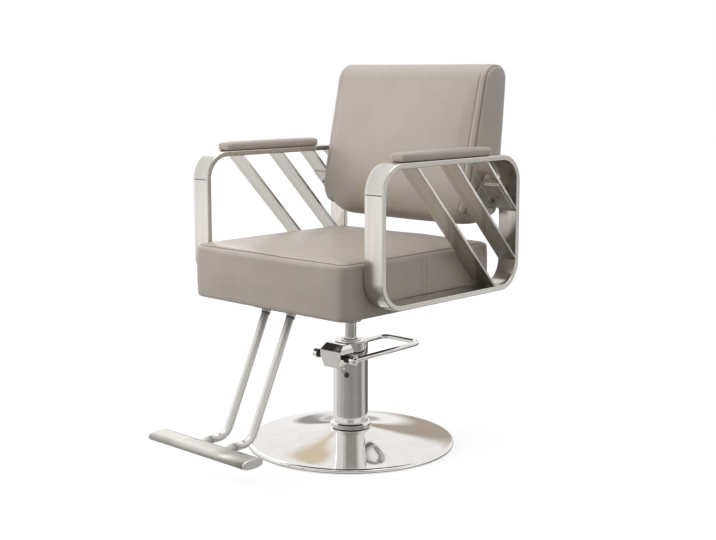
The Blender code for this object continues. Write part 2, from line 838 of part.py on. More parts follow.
def arm_angle_profile(grow=0.0):
    """Front view of the right arm's angle: a leg on the seat board and a leg up the inner edge of the arm."""
    outside = arm_inner - GAP
    inside = outside - ARM_ANGLE_THICKNESS
    low = SEAT_BOTTOM_HEIGHT + BOARD_THICKNESS + GAP
    top = arm_bottom + ARM_BAR_THICKNESS
    return [
        (outside + grow, low - grow),
        (outside + grow, top + grow),
        (inside - grow, top + grow),
        (inside - grow, low + ARM_ANGLE_THICKNESS + grow),
        (inside - ARM_ANGLE_REACH - grow, low + ARM_ANGLE_THICKNESS + grow),
        (inside - ARM_ANGLE_REACH - grow, low - grow),
    ]


def arm_angle_mesh(side, grow=0.0):
    """The arm's angle, halfway along the arm, or the cutter that clears it."""
    outline = [(side * x, z) for x, z in arm_angle_profile(grow)]
    length = ARM_ANGLE_LENGTH + 2 * grow
    rear = (arm_front + arm_rear + length) / 2
    return extruded([outline], length, frame_of((0, rear, 0), (1, 0, 0), (0, 0, 1)))


def arm_screw_places():
    x = arm_angle_profile()[-1][0] + ARM_SCREW_EDGE
    middle = (arm_front + arm_rear) / 2
    return [
        (sx * x, middle + sy * ARM_SCREW_SPACING / 2, SEAT_BOTTOM_HEIGHT) for sx in (1, -1) for sy in (1, -1)
    ]


def build_seat(frame, chrome, steel, wood, leather):
    rod_foot = piston_top - PISTON_SOCKET_DEPTH + GAP
    add_object("ram_rod", cylinder(ram_r, (0, 0, rod_foot), (0, 0, hub_top)), frame, chrome)
    turned(
        "seat_hub",
        [
            (ram_r + GAP, hub_top),
            (ram_r + GAP + HUB_WALL, hub_top),
            (ram_r + GAP + HUB_WALL, hub_top - HUB_LENGTH),
            (ram_r + GAP, hub_top - HUB_LENGTH),
        ],
        frame,
        steel,
    )
    build_seat_plate(frame, steel)

    board = block(
        (-SEAT_WIDTH / 2 + BOARD_MARGIN, seat_front + BOARD_MARGIN, SEAT_BOTTOM_HEIGHT),
        (SEAT_WIDTH / 2 - BOARD_MARGIN, seat_rear - BOARD_MARGIN, SEAT_BOTTOM_HEIGHT + BOARD_THICKNESS),
    )
    board = add_object("seat_board", board, frame, wood)
    screw_length = BOARD_THICKNESS + GAP + ARM_ANGLE_THICKNESS
    for index, place in enumerate(seat_bolt_places()):
        length = SEAT_PLATE_THICKNESS + BOARD_THICKNESS
        boolean(board, hole_for(BOLT, place, (0, 0, 1), length))
        fastener(f"seat_bolt_{index + 1}", BOLT, place, (0, 0, 1), length, frame, steel)
    for index, place in enumerate(arm_screw_places()):
        boolean(board, hole_for(SCREW, place, (0, 0, 1), BOARD_THICKNESS))
        fastener(f"arm_screw_{index + 1}", SCREW, place, (0, 0, 1), screw_length, frame, steel)

    half = Vector((SEAT_WIDTH / 2, SEAT_DEPTH / 2, SEAT_THICKNESS / 2))
    cushion = soft_block(half, SEAT_CORNER_RADIUS, SEAT_EDGE_RADIUS, SEAT_DRAW_IN, CUSHION_DIVISIONS)
    for vert in cushion.vertices:
        x, y, z = vert.co
        rise = SEAT_CROWN * crown(x, half.x) * crown(y, half.y) * max(z / half.z, 0) ** 4
        vert.co = (x, y + SEAT_CENTRE_Y, z + half.z + rise + SEAT_BOTTOM_HEIGHT)
    cushion = add_object("seat_cushion", cushion, frame, leather)
    recess = block(
        (-SEAT_WIDTH / 2 + BOARD_MARGIN - GAP, seat_front + BOARD_MARGIN - GAP, SEAT_BOTTOM_HEIGHT - 0.01),
        (
            SEAT_WIDTH / 2 - BOARD_MARGIN + GAP,
            seat_rear - BOARD_MARGIN + GAP,
            SEAT_BOTTOM_HEIGHT + BOARD_THICKNESS + 2 * GAP,
        ),
    )
    boolean(cushion, recess)
    for side in (1, -1):
        boolean(cushion, arm_angle_mesh(side, GAP))


def tube_top(side):
    """Where a footrest tube's centre line meets the seat plate's underside."""
    return Vector((side * FOOT_TUBE_SPACING / 2, FOOT_TUBE_TOP_Y, plate_bottom))


def tube_end_offset():
    """How far down its own line a tube starts, so that its square end stays under the plate."""
    return (GAP + tube_r * math.sin(FOOT_TUBE_TILT)) / math.cos(FOOT_TUBE_TILT)


def build_seat_plate(frame, steel):
    """A square plate with a tongue to the front, and two sockets for the footrest tubes under the tongue."""
    half = SEAT_PLATE_SIZE / 2
    socket_r = tube_r + GAP + SOCKET_WALL
    tongue = FOOT_TUBE_SPACING / 2 + socket_r + TONGUE_MARGIN
    front = FOOT_TUBE_TOP_Y - socket_r / math.cos(FOOT_TUBE_TILT) - TONGUE_MARGIN
    outline = [
        (-half, half),
        (-half, -half),
        (-tongue, -half - TONGUE_TAPER),
        (-tongue, front),
        (tongue, front),
        (tongue, -half - TONGUE_TAPER),
        (half, -half),
        (half, half),
    ]
    mesh = extruded([outline], SEAT_PLATE_THICKNESS, Matrix.Translation((0, 0, plate_bottom)))
    plate = add_object("seat_plate", mesh, frame, steel)
    for side in (1, -1):
        top = tube_top(side)
        low, high = top + tube_down * SOCKET_LENGTH, top - tube_down * 2 * socket_r
        stub = add_object("socket_shape", cylinder(socket_r, high, low, SMALL_SIDES))
        weld = plate_bottom + SEAT_PLATE_THICKNESS / 2
        boolean(stub, block((-1, -1, weld), (1, 1, weld + 1)))
        boolean(plate, evaluated_mesh(stub), "UNION")
        start = top + tube_down * (tube_end_offset() - GAP)
        boolean(plate, cylinder(tube_r + GAP, start, top + tube_down * 2 * SOCKET_LENGTH, SMALL_SIDES))
    for place in seat_bolt_places():
        boolean(plate, hole_for(BOLT, place, (0, 0, 1), SEAT_PLATE_THICKNESS))


# Arms


def slat_feet():
    """Where each slat's middle line meets the bar at its lower end, past the bend of the rear corner."""
    floor_y = arm_rear - ARM_CORNER_RADIUS - FRONT_SLAT_SETBACK
    middle_z = arm_bottom + ARM_CORNER_RADIUS + MIDDLE_SLAT_RISE
    return (
        Vector((floor_y, slat_floor)),
        Vector((slat_back, middle_z)),
        Vector((slat_back, middle_z + REAR_SLAT_RISE)),
    )


def slat_outline(foot, on_floor):
    """Side view of a slat, cut flush with the bars that it runs between."""
    run = 1 / math.tan(SLAT_ANGLE)
    half_y = SLAT_THICKNESS / 2 / math.sin(SLAT_ANGLE)
    half_z = SLAT_THICKNESS / 2 / math.cos(SLAT_ANGLE)
    head_y = foot.x - (slat_ceiling - foot.y) * run
    head = [(head_y + half_y, slat_ceiling), (head_y - half_y, slat_ceiling)]
    if on_floor:
        return head + [(foot.x - half_y, foot.y), (foot.x + half_y, foot.y)]
    return head + [(foot.x, foot.y - half_z), (foot.x, foot.y + half_z)]


def build_arm(side, label, frame, polished, steel, leather):
    across = frame_of((0, 0, 0), (0, 1, 0), (0, 0, 1))
    inner = arm_inner if side > 0 else -arm_outer
    middle = Vector(((arm_front + arm_rear) / 2, (arm_bottom + arm_top) / 2))
    bar = ARM_BAR_THICKNESS
    loops = [
        rounded_outline(ARM_LENGTH, ARM_HEIGHT, ARM_CORNER_RADIUS),
        rounded_outline(ARM_LENGTH - 2 * bar, ARM_HEIGHT - 2 * bar, ARM_CORNER_RADIUS - bar),
    ]
    loop = extruded(loops, ARM_BAR_WIDTH, Matrix.Translation((inner, *middle)) @ across)
    add_object(f"arm_loop_{label}", loop, frame, polished)

    slats = []
    for name, foot in zip(("front", "middle", "rear"), slat_feet()):
        outline = slat_outline(foot, name == "front")
        mesh = extruded([outline], ARM_BAR_WIDTH, Matrix.Translation((inner, 0, 0)) @ across)
        slats.append(add_object(f"arm_slat_{name}_{label}", mesh, frame, polished))

    half = Vector((PAD_WIDTH / 2, PAD_LENGTH / 2, PAD_THICKNESS / 2))
    pad = soft_block(half, PAD_CORNER_RADIUS, PAD_EDGE_RADIUS, PAD_DRAW_IN, PAD_DIVISIONS)
    pad_y = arm_front + PAD_SETBACK + PAD_LENGTH / 2
    for vert in pad.vertices:
        x, y, z = vert.co
        rise = PAD_CROWN * crown(x, half.x) * max(z / half.z, 0) ** 4
        vert.co = (x + inner + ARM_BAR_WIDTH / 2, y + pad_y, z + half.z + rise + arm_top + GAP)
    add_object(f"arm_pad_{label}", pad, frame, leather)

    angle = add_object(f"arm_angle_{label}", arm_angle_mesh(side), frame, steel)
    for place in arm_screw_places():
        if place[0] * side > 0:
            boolean(angle, hole_for(SCREW, place, (0, 0, 1), BOARD_THICKNESS + GAP + ARM_ANGLE_THICKNESS))
    return slats[-1]


# Backrest


def back_front_y(z):
    """The front leans back in a straight line, and near its foot it curves under towards the rear."""
    above = z - back_bottom
    tuck = BACK_TUCK_DEPTH * max(1 - above / BACK_TUCK_HEIGHT, 0) ** 2
    return back_foot_y + above * math.tan(BACK_FRONT_LEAN) + tuck


def back_rear_y(z):
    return back_foot_y + BACK_FOOT_THICKNESS + (z - back_bottom) * math.tan(BACK_REAR_LEAN)


def round_foot_corner(x, z, half_width, half_height):
    """A point of the backrest in front view, brought inside the round lower corner if it is near one."""
    over = abs(x) - half_width + BACK_FOOT_CORNER_RADIUS
    under = -half_height + BACK_FOOT_CORNER_RADIUS - z
    if over > 0 and under > 0:
        share = max(over, under) / math.hypot(over, under)
        x -= math.copysign(over * (1 - share), x)
        z += under * (1 - share)
    return x, z


def bracket_frame(side):
    """Upper end of the bracket's inner corner, the way off the slat's face, and the way down the slat."""
    off_slat = Vector((0, -math.sin(SLAT_ANGLE), -math.cos(SLAT_ANGLE)))
    down = Vector((0, math.cos(SLAT_ANGLE), -math.sin(SLAT_ANGLE)))
    foot = slat_feet()[-1]
    x = side * (BACK_WIDTH / 2 + BRACKET_SIDE_CLEARANCE)
    origin = Vector((x, foot.x, foot.y)) + off_slat * (SLAT_THICKNESS / 2 + GAP)
    return origin - down * (BRACKET_FOOT_CLEARANCE + BRACKET_LENGTH), off_slat, down


def build_back(frame, rear_slats, steel, panel_leather, leather):
    """A wedge that thins towards its top, whose front panel wraps over the round top between flat side gussets."""
    head = back_bottom + BACK_HEIGHT
    half = Vector((back_rear_y(head) - back_front_y(head), BACK_HEIGHT, BACK_WIDTH)) / 2
    cushion = soft_block(half, BACK_CORNER_RADIUS, BACK_EDGE_RADIUS, 0, CUSHION_DIVISIONS)
    for vert in cushion.vertices:
        y, z, x = vert.co
        x, z = round_foot_corner(x, z, half.z, half.y)
        height = back_bottom + half.y + z
        share = (y + half.x) / (2 * half.x)
        bulge = BACK_CROWN * crown(x, half.z) * crown(z, half.y) * (1 - share) ** 3
        depth = back_front_y(height) + (back_rear_y(height) - back_front_y(height)) * share
        pull = BACK_DRAW_IN * crown(z, half.y) * (x / half.z) ** 3
        vert.co = (x - pull, depth - bulge, height)
    cushion = add_object("back_cushion", cushion, frame, leather)

    tilt = Matrix.Rotation(-BACK_REAR_LEAN, 4, "X")
    middle = back_bottom + half.y
    outward = tilt @ Vector((0, 1, 0))
    face = Vector((0, back_rear_y(middle), middle)) - outward * GAP
    width, height = BACK_WIDTH - 2 * PANEL_MARGIN, BACK_HEIGHT - 2 * PANEL_MARGIN
    upright = frame_of((0, 0, 0), (1, 0, 0), (0, 0, 1))
    outline = rounded_outline(width, height, PANEL_CORNER_RADIUS)
    place = Matrix.Translation(face) @ tilt @ upright
    add_object("back_panel", extruded([outline], PANEL_THICKNESS, place), frame, panel_leather)
    outline = rounded_outline(width + 2 * GAP, height + 2 * GAP, PANEL_CORNER_RADIUS + GAP)
    past = Matrix.Translation(face + outward * 0.02) @ tilt @ upright
    boolean(cushion, extruded([outline], PANEL_THICKNESS + GAP + 0.02, past))

    for side, label, slat in ((1, "right", rear_slats[0]), (-1, "left", rear_slats[1])):
        build_bracket(side, label, slat, cushion, frame, steel)


def build_bracket(side, label, slat, cushion, frame, steel):
    """An angle under the rear slat, screwed to the slat and bolted to the side of the backrest."""
    origin, off_slat, down = bracket_frame(side)
    thick = BRACKET_THICKNESS
    outline = [
        (0, 0),
        (BRACKET_FLANGE, 0),
        (BRACKET_FLANGE, thick),
        (thick, thick),
        (thick, BRACKET_WEB),
        (0, BRACKET_WEB),
    ]
    place = frame_of(origin, (1, 0, 0), off_slat)
    mesh = extruded([[(side * x, y) for x, y in outline]], BRACKET_LENGTH, place)
    bracket = add_object(f"back_bracket_{label}", mesh, frame, steel)

    out = Vector((side, 0, 0))
    bolt_seat = origin + out * thick + off_slat * BACK_BOLT_FROM_SLAT
    bolt_seat += down * (BRACKET_LENGTH - BACK_BOLT_FROM_FOOT + BRACKET_FOOT_CLEARANCE)
    boolean(bracket, hole_for(BOLT, bolt_seat, -out, thick))
    boolean(cushion, hole_for(BOLT, bolt_seat, -out, BACK_BOLT_DEPTH))
    fastener(f"back_bolt_{label}", BOLT, bolt_seat, -out, BACK_BOLT_DEPTH, frame, steel)

    screw_seat = origin + out * (arm_inner + ARM_BAR_WIDTH / 2 - abs(origin.x))
    screw_seat += off_slat * thick + down * BRACKET_LENGTH / 2
    length = thick + GAP + SLAT_THICKNESS
    boolean(bracket, hole_for(SCREW, screw_seat, -off_slat, length))
    boolean(slat, hole_for(SCREW, screw_seat, -off_slat, length))
    fastener(f"slat_screw_{label}", SCREW, screw_seat, -off_slat, length - GAP, frame, steel)


# Footrest


def tube_path(side):
    """A footrest tube's centre line: down and forwards from its socket, then round to level at the foot bar."""
    top = tube_top(side)
    start = top + tube_down * tube_end_offset()
    turn = math.pi / 2 - FOOT_TUBE_TILT
    drop = top.z - FOOT_BAR_CENTRE_HEIGHT
    knee = top + tube_down * (drop / math.cos(FOOT_TUBE_TILT))
    back_off = FOOT_TUBE_BEND_RADIUS * math.tan(turn / 2)
    centre = knee + Vector((0, -back_off, FOOT_TUBE_BEND_RADIUS))
    points = [start]
    steps = 2 * BEND_STEPS
    for step in range(steps + 1):
        angle = turn * (1 - step / steps)
        reach = Vector((0, math.sin(angle), -math.cos(angle)))
        points.append(centre + FOOT_TUBE_BEND_RADIUS * reach)
    points.append(points[-1] + Vector((0, -FOOT_TUBE_END_RUN, 0)))
    return points


def build_footrest(frame, polished, rubber):
    ends = []
    for side, label in ((1, "right"), (-1, "left")):
        path = tube_path(side)
        ends.append(path[-1])
        add_object(f"footrest_tube_{label}", rod(path, tube_r, 3), frame, polished)
        ferrule_top = tube_top(side) + tube_down * (SOCKET_LENGTH + GAP)
        ferrule = turned(
            f"tube_ferrule_{label}",
            [
                (tube_r + GAP, FERRULE_LENGTH),
                (tube_r + GAP + SOCKET_WALL, FERRULE_LENGTH),
                (tube_r + GAP + SOCKET_WALL, 0),
                (tube_r + GAP, 0),
            ],
            frame,
            rubber,
            sides=SMALL_SIDES,
        )
        ferrule.matrix_local = Matrix.Translation(ferrule_top + tube_down * FERRULE_LENGTH) @ along(-tube_down)

    bar_rear = ends[0].y - GAP - FOOT_LUG_LENGTH
    centre = Vector((0, bar_rear - FOOT_BAR_DEPTH / 2, FOOT_BAR_CENTRE_HEIGHT))
    across = frame_of((0, 0, 0), (0, 1, 0), (0, 0, 1))
    body = FOOT_BAR_LENGTH - 2 * (END_CAP_THICKNESS + GAP)
    wall = 2 * FOOT_BAR_WALL
    outer = rounded_outline(FOOT_BAR_DEPTH, FOOT_BAR_HEIGHT, FOOT_BAR_ROUND)
    inner = rounded_outline(FOOT_BAR_DEPTH - wall, FOOT_BAR_HEIGHT - wall, FOOT_BAR_ROUND - FOOT_BAR_WALL)
    place = Matrix.Translation(centre - Vector((body / 2, 0, 0))) @ across
    bar = add_object("foot_bar", extruded([outer, inner], body, place), frame, polished)
    for end in ends:
        low = Vector((end.x - FOOT_LUG_WIDTH / 2, bar_rear - FOOT_BAR_WALL / 2, end.z - FOOT_LUG_HEIGHT / 2))
        high = Vector((end.x + FOOT_LUG_WIDTH / 2, bar_rear + FOOT_LUG_LENGTH, end.z + FOOT_LUG_HEIGHT / 2))
        boolean(bar, block(low, high), "UNION")
    for start, label in ((body / 2 + GAP, "right"), (-body / 2 - GAP - END_CAP_THICKNESS, "left")):
        place = Matrix.Translation(centre + Vector((start, 0, 0))) @ across
        add_object(f"foot_bar_cap_{label}", extruded([outer], END_CAP_THICKNESS, place), frame, polished)


def main():
    clear_scene()
    chrome = finish("polished_chrome", (0.78, 0.77, 0.76), 0.08, 1)
    polished = finish("polished_stainless", (0.74, 0.72, 0.70), 0.22, 1)
    steel = finish("plain_steel", (0.42, 0.42, 0.43), 0.45, 1)
    rubber = finish("black_rubber", (0.02, 0.02, 0.02), 0.6, 0)
    wood = finish("plywood", (0.55, 0.40, 0.24), 0.7, 0)
    leather = finish("taupe_leatherette", (0.39, 0.34, 0.30), 0.5, 0)
    panel_leather = finish("taupe_leatherette_panel", (0.36, 0.31, 0.27), 0.55, 0)

    base = joint_frame("base", (0, 0, 0))
    lift = joint_frame("lift_axis", (0, 0, 0), base)
    seat = joint_frame("swivel_axis", (0, 0, 0), lift)
    pedal = joint_frame("pedal_axis", (0, shaft_y, shaft_z), base)
    plunger = joint_frame("plunger_axis", (0, plunger_front, plunger_z), base)

    build_base_plate(base, steel)
    build_dish(base, chrome)
    build_column(base, chrome, steel)
    build_head(base, chrome, steel, rubber)
    build_piston(lift, steel, rubber)
    build_pump(pedal, plunger, chrome, steel)
    build_spring(base, steel)
    build_seat(seat, chrome, steel, wood, leather)
    rear_slats = [
        build_arm(1, "right", seat, polished, steel, leather),
        build_arm(-1, "left", seat, polished, steel, leather),
    ]
    build_back(seat, rear_slats, steel, panel_leather, leather)
    build_footrest(seat, polished, rubber)


main()
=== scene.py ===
import math

import bmesh
import bpy
from mathutils import Matrix, Vector, noise
from mathutils.bvhtree import BVHTree


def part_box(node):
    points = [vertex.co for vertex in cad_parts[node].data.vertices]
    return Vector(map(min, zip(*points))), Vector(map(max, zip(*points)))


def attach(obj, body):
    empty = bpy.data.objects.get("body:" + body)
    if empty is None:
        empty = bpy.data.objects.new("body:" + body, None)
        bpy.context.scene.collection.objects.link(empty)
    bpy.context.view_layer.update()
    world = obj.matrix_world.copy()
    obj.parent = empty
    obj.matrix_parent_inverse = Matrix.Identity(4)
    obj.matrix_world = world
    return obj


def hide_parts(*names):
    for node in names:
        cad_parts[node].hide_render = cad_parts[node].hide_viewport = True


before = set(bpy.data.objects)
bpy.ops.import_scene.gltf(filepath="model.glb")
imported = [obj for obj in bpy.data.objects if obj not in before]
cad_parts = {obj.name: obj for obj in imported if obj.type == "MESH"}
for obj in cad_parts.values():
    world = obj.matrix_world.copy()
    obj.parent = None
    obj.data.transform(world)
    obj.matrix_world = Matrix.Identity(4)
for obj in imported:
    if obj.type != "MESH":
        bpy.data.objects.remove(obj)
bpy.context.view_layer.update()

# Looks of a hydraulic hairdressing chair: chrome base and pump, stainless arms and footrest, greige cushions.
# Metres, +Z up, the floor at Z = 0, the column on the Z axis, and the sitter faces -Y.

MM = 0.001
X, Y, Z = Vector((1, 0, 0)), Vector((0, 1, 0)), Vector((0, 0, 1))
SIDES = ((1, "right"), (-1, "left"))

# Camera of the photograph: its eye, the way it looks, its focal length and the picture's width in pixels
EYE = (2.1562, -2.2754, 0.9660)
LOOK_TURN = math.radians(43.1084)
LOOK_DOWN = math.radians(9.1959)
FOCAL_PIXELS = 1234.5
PICTURE_WIDTH = 716
SENSOR_WIDTH = 36.0

# Gaps round pieces that slide and pieces that are snug, and the small flat round the axis of a turned form
SLIDE_GAP = 0.3 * MM
SNUG_GAP = 0.2 * MM
CORE_RADIUS = 0.3 * MM

# Sizes that the boxes of the CAD nodes do not give
COLUMN_RADIUS = 45 * MM
RAM_RADIUS = 15 * MM
SHAFT_RADIUS = 7 * MM
BLOCK_HALF = 36 * MM
LEVER_RADIUS = 6.75 * MM
LEVER_BEND = 24 * MM
LEVER_EYE_HALF = 7 * MM
BAR_THICKNESS = 13.3 * MM
BAR_BEND = 70 * MM
BAR_EDGE = 2.4 * MM
SLAT_THICKNESS = 7 * MM
SLAT_EDGE = 1.2 * MM
SLAT_ANGLE = math.radians(46.3)
SLAT_AHEAD = Vector((0, math.cos(SLAT_ANGLE), -math.sin(SLAT_ANGLE)))
SLAT_OFF = Vector((0, math.sin(SLAT_ANGLE), math.cos(SLAT_ANGLE)))
PLATE_THICKNESS = 5 * MM
TUBE_RADIUS = 10 * MM
TUBE_SIDES = 36
TUBE_TILT = math.radians(25.3)
TUBE_BEND = 80 * MM
FOOT_LEVEL = 96 * MM
SPADE_WIDTH = 24 * MM
SPADE_HEIGHT = 9 * MM
SPADE_STEPS = (0, 0.1, 0.2, 0.3, 0.4, 0.5, 0.6, 0.7, 0.8, 1)
SEAT_SEAM_PLACES = (-34 * MM, -19 * MM)
BACK_FOOT = 134 * MM
BACK_FOOT_THICKNESS = 149 * MM
BACK_TUCK_HEIGHT = 115 * MM
BACK_TUCK_DEPTH = 40 * MM
BACK_FRONT_LEAN = math.radians(12.9)
BACK_REAR_LEAN = math.radians(4.2)

# How lines and edges are eased: the most of a side that an arc takes up, and the angle from which an edge
# counts as sharp
ARC_SHARE = 0.48
SHARP_ANGLE = math.radians(25)

# How covers are made: the ease of their corners, frames of simulation, passes that smooth its moves, the
# share of each move that stays as it was, and how close to a face of the box a place counts as on it
CORNER_EASE = 2.4
CLOTH_FRAMES = 20
SMOOTHING_PASSES = 30
CREASE_SHARE = 0.12
FACE_TOLERANCE = 0.01 * MM
# Places that a seam adds to a cover, and how far the others keep away from it
SEAM_TICKS = (-5 * MM, -2.5 * MM, -1.2 * MM, 0, 1.2 * MM, 2.5 * MM, 5 * MM)
SEAM_CLEAR = 6.5 * MM
# A stitch: places along it as shares of its length, and its thickness there as shares of the whole
STITCH_FORM = ((-0.5, 0.35), (-0.36, 0.85), (0, 1), (0.36, 0.85), (0.5, 0.35))
STITCH_SIDES = 6
# Distance between the rays that find where stitches lie
RAY_STEP = 1 * MM

# Softboxes: place, aim, width and height, watts, and whether metal mirrors them
SOFTBOXES = (
    ("key_softbox", (-2.0, -2.5, 2.1), (0, 0, 0.6), (1.8, 1.8), 76, False),
    ("top_softbox", (0.3, 0.2, 3.1), (0, 0, 0.5), (2.0, 2.0), 28, True),
    ("rim_softbox", (-2.6, 1.0, 1.6), (0, 0, 0.6), (1.0, 1.8), 10, True),
    ("fill_softbox", (3.2, 0.2, 1.9), (0, 0, 0.6), (1.8, 1.8), 12, False),
)
ROOM_LIGHT = 0.42
FLOOR_RADIUS = 14
# Rings of glowing reflector cards on the floor, which paint reflections in shiny surfaces: radii, and the
# greys of cards 30 degrees wide, anticlockwise from +X
CARD_RINGS = (
    ("near_cards", 0.272, 1.7, (0.26, 0.62, 0.16, 0.12, 0.56, 0.78, 0.92, 0.62, 0.46, 0.34, 0.29, 0.33)),
    ("middle_cards", 1.7, 3.3, (0.74, 0.86, 0.64, 0.72, 0.82, 0.95, 0.88, 0.72, 0.84, 0.80, 0.55, 0.64)),
    ("far_cards", 3.3, 7.0, (0.70, 0.66, 0.60, 0.72, 0.82, 0.95, 1.20, 1.30, 1.15, 0.80, 0.55, 0.64)),
)
CARD_WARMTH = (1, 0.985, 0.965)
CARD_LIFT = 2 * MM
# Soft glowing cards that stand round the room and paint reflections in shiny surfaces: way and width in
# degrees, lowest and highest point, colour
ROOM_CARDS = (
    ("rear_right_card", 123, 20, 0.4, 2.6, (0.46, 0.40, 0.33)),
    ("rear_left_card", 140, 10, -0.2, 0.75, (0.36, 0.34, 0.31)),
    ("rear_high_card", 140, 7, 3.4, 5.2, (0.74, 0.64, 0.48)),
    ("right_low_card", 47, 60, -0.1, 1.0, (0.62, 0.60, 0.58)),
    ("camera_low_card", 313, 60, -0.1, 1.1, (0.45, 0.44, 0.43)),
    ("camera_high_card", 318, 130, 1.2, 12.0, (0.40, 0.385, 0.37)),
)
ROOM_REACH = 7.0


# Materials

# Parts of a noise's values that are stretched to their whole range
NOISE_MIDDLE = {"From Min": 0.35, "From Max": 0.65}
NOISE_MOST = {"From Min": 0.3, "From Max": 0.7}
# Distance between the bands of a wave texture of scale 1, along an axis and along the diagonal
AXIS_BAND = 2 * math.pi / 20
DIAGONAL_BAND = 2 * math.pi / 10 / math.sqrt(3)


def linear(code):
    """A colour written as sRGB hex, in the linear values that shaders take."""
    parts = [int(code[k : k + 2], 16) / 255 for k in (1, 3, 5)]
    return tuple(p / 12.92 if p <= 0.04045 else ((p + 0.055) / 1.055) ** 2.4 for p in parts) + (1,)


def add_node(tree, kind, inputs=None, **settings):
    """A node with its settings; each input takes a value, or another node's output as a link."""
    made = tree.nodes.new(kind)
    for name, value in settings.items():
        setattr(made, name, value)
    for socket, value in (inputs or {}).items():
        if isinstance(value, bpy.types.NodeSocket):
            tree.links.new(value, made.inputs[socket])
        else:
            made.inputs[socket].default_value = value
    return made


def new_material(name):
    """A material without nodes, and its node tree."""
    made = bpy.data.materials.new(name)
    made.use_nodes = True
    made.node_tree.nodes.clear()
    return made, made.node_tree


def finish_material(tree, inputs):
    """Ends a material with the shader that takes these inputs."""
    shader = add_node(tree, "ShaderNodeBsdfPrincipled", inputs)
    add_node(tree, "ShaderNodeOutputMaterial", {"Surface": shader.outputs["BSDF"]})


def embossed_leatherette(name, light, dark, roughness):
    """PU leatherette, calendered on cloth: a soft broad sheen, a fine pebble grain and slow changes of tone.

    Its real pebbles are about 0.9 mm; they are drawn at 2.2 mm, because finer ones do not show.
    """
    cloud, pebble, crease, crease_height = 70 * MM, 2.2 * MM, 9 * MM, 0.8
    made, tree = new_material(name)
    place = add_node(tree, "ShaderNodeTexCoord").outputs["Object"]
    clouds = add_node(tree, "ShaderNodeTexNoise", {"Vector": place, "Scale": 1 / cloud, "Detail": 3.0})
    pebbles = add_node(tree, "ShaderNodeTexVoronoi", {"Vector": place, "Scale": 1 / pebble})
    creases = add_node(
        tree, "ShaderNodeTexNoise", {"Vector": place, "Scale": 1 / crease, "Detail": 4.0, "Roughness": 0.6}
    )
    share = add_node(tree, "ShaderNodeMapRange", {"Value": clouds.outputs["Fac"], **NOISE_MIDDLE})
    colour = add_node(
        tree,
        "ShaderNodeMix",
        {"Factor": share.outputs["Result"], "A": linear(dark), "B": linear(light)},
        data_type="RGBA",
    )
    gloss = add_node(
        tree,
        "ShaderNodeMapRange",
        {
            "Value": creases.outputs["Fac"],
            **NOISE_MOST,
            "To Min": roughness - 0.04,
            "To Max": roughness + 0.05,
        },
    )
    height = add_node(
        tree,
        "ShaderNodeMath",
        {0: creases.outputs["Fac"], 1: crease_height, 2: pebbles.outputs["Distance"]},
        operation="MULTIPLY_ADD",
    )
    grain = add_node(
        tree, "ShaderNodeBump", {"Height": height.outputs["Value"], "Strength": 0.12, "Distance": 0.5 * MM}
    )
    finish_material(
        tree,
        {
            "Base Color": colour.outputs["Result"],
            "Roughness": gloss.outputs["Result"],
            "Normal": grain.outputs["Normal"],
            "IOR": 1.48,
            "Sheen Weight": 0.04,
            "Sheen Roughness": 0.4,
        },
    )
    return made


def spun_thread(name, light, dark):
    """Bonded polyester thread: matt, with the light and dark of its three twisted plies.

    The plies are about 0.5 mm apart; they are drawn 2.3 mm apart, because finer ones do not show.
    """
    ply = 2.285 * MM
    made, tree = new_material(name)
    place = add_node(tree, "ShaderNodeTexCoord").outputs["Object"]
    plies = add_node(
        tree,
        "ShaderNodeTexWave",
        {"Vector": place, "Scale": DIAGONAL_BAND / ply, "Distortion": 1.5},
        bands_direction="DIAGONAL",
    )
    colour = add_node(
        tree,
        "ShaderNodeMix",
        {"Factor": plies.outputs["Fac"], "A": linear(dark), "B": linear(light)},
        data_type="RGBA",
    )
    finish_material(
        tree, {"Base Color": colour.outputs["Result"], "Roughness": 0.75, "Sheen Weight": 0.2}
    )
    return made


def brushed_stainless(name, light, dark, smooth, rough):
    """Stainless bar and tube, belt brushed along its length: bright, with soft streaks along the bar.

    The belt's scratches are about 0.3 mm apart; they are drawn 3 mm apart and 300 mm long, because finer
    ones do not show. Broader bands of tone are 18 mm apart. Both follow the surface map, which runs round
    and along each bar in metres.
    """
    scratch = Vector((3 * MM, 300 * MM))
    band = Vector((18 * MM, 700 * MM))
    made, tree = new_material(name)
    place = add_node(tree, "ShaderNodeTexCoord").outputs["UV"]
    fine = add_node(tree, "ShaderNodeMapping", {"Vector": place, "Scale": (1 / scratch.x, 1 / scratch.y, 1)})
    streaks = add_node(
        tree, "ShaderNodeTexNoise", {"Vector": fine.outputs["Vector"], "Scale": 1.0, "Detail": 4.0}
    )
    broad = add_node(tree, "ShaderNodeMapping", {"Vector": place, "Scale": (1 / band.x, 1 / band.y, 1)})
    bands = add_node(
        tree, "ShaderNodeTexNoise", {"Vector": broad.outputs["Vector"], "Scale": 1.0, "Detail": 2.0}
    )
    share = add_node(tree, "ShaderNodeMapRange", {"Value": bands.outputs["Fac"], **NOISE_MIDDLE})
    colour = add_node(
        tree,
        "ShaderNodeMix",
        {"Factor": share.outputs["Result"], "A": linear(dark), "B": linear(light)},
        data_type="RGBA",
    )
    gloss = add_node(
        tree,
        "ShaderNodeMapRange",
        {"Value": streaks.outputs["Fac"], **NOISE_MOST, "To Min": smooth, "To Max": rough},
    )
    scratches = add_node(
        tree, "ShaderNodeBump", {"Height": streaks.outputs["Fac"], "Strength": 0.05, "Distance": 0.2 * MM}
    )
    finish_material(
        tree,
        {
            "Base Color": colour.outputs["Result"],
            "Metallic": 1.0,
            "Roughness": gloss.outputs["Result"],
            "Normal": scratches.outputs["Normal"],
        },
    )
    return made


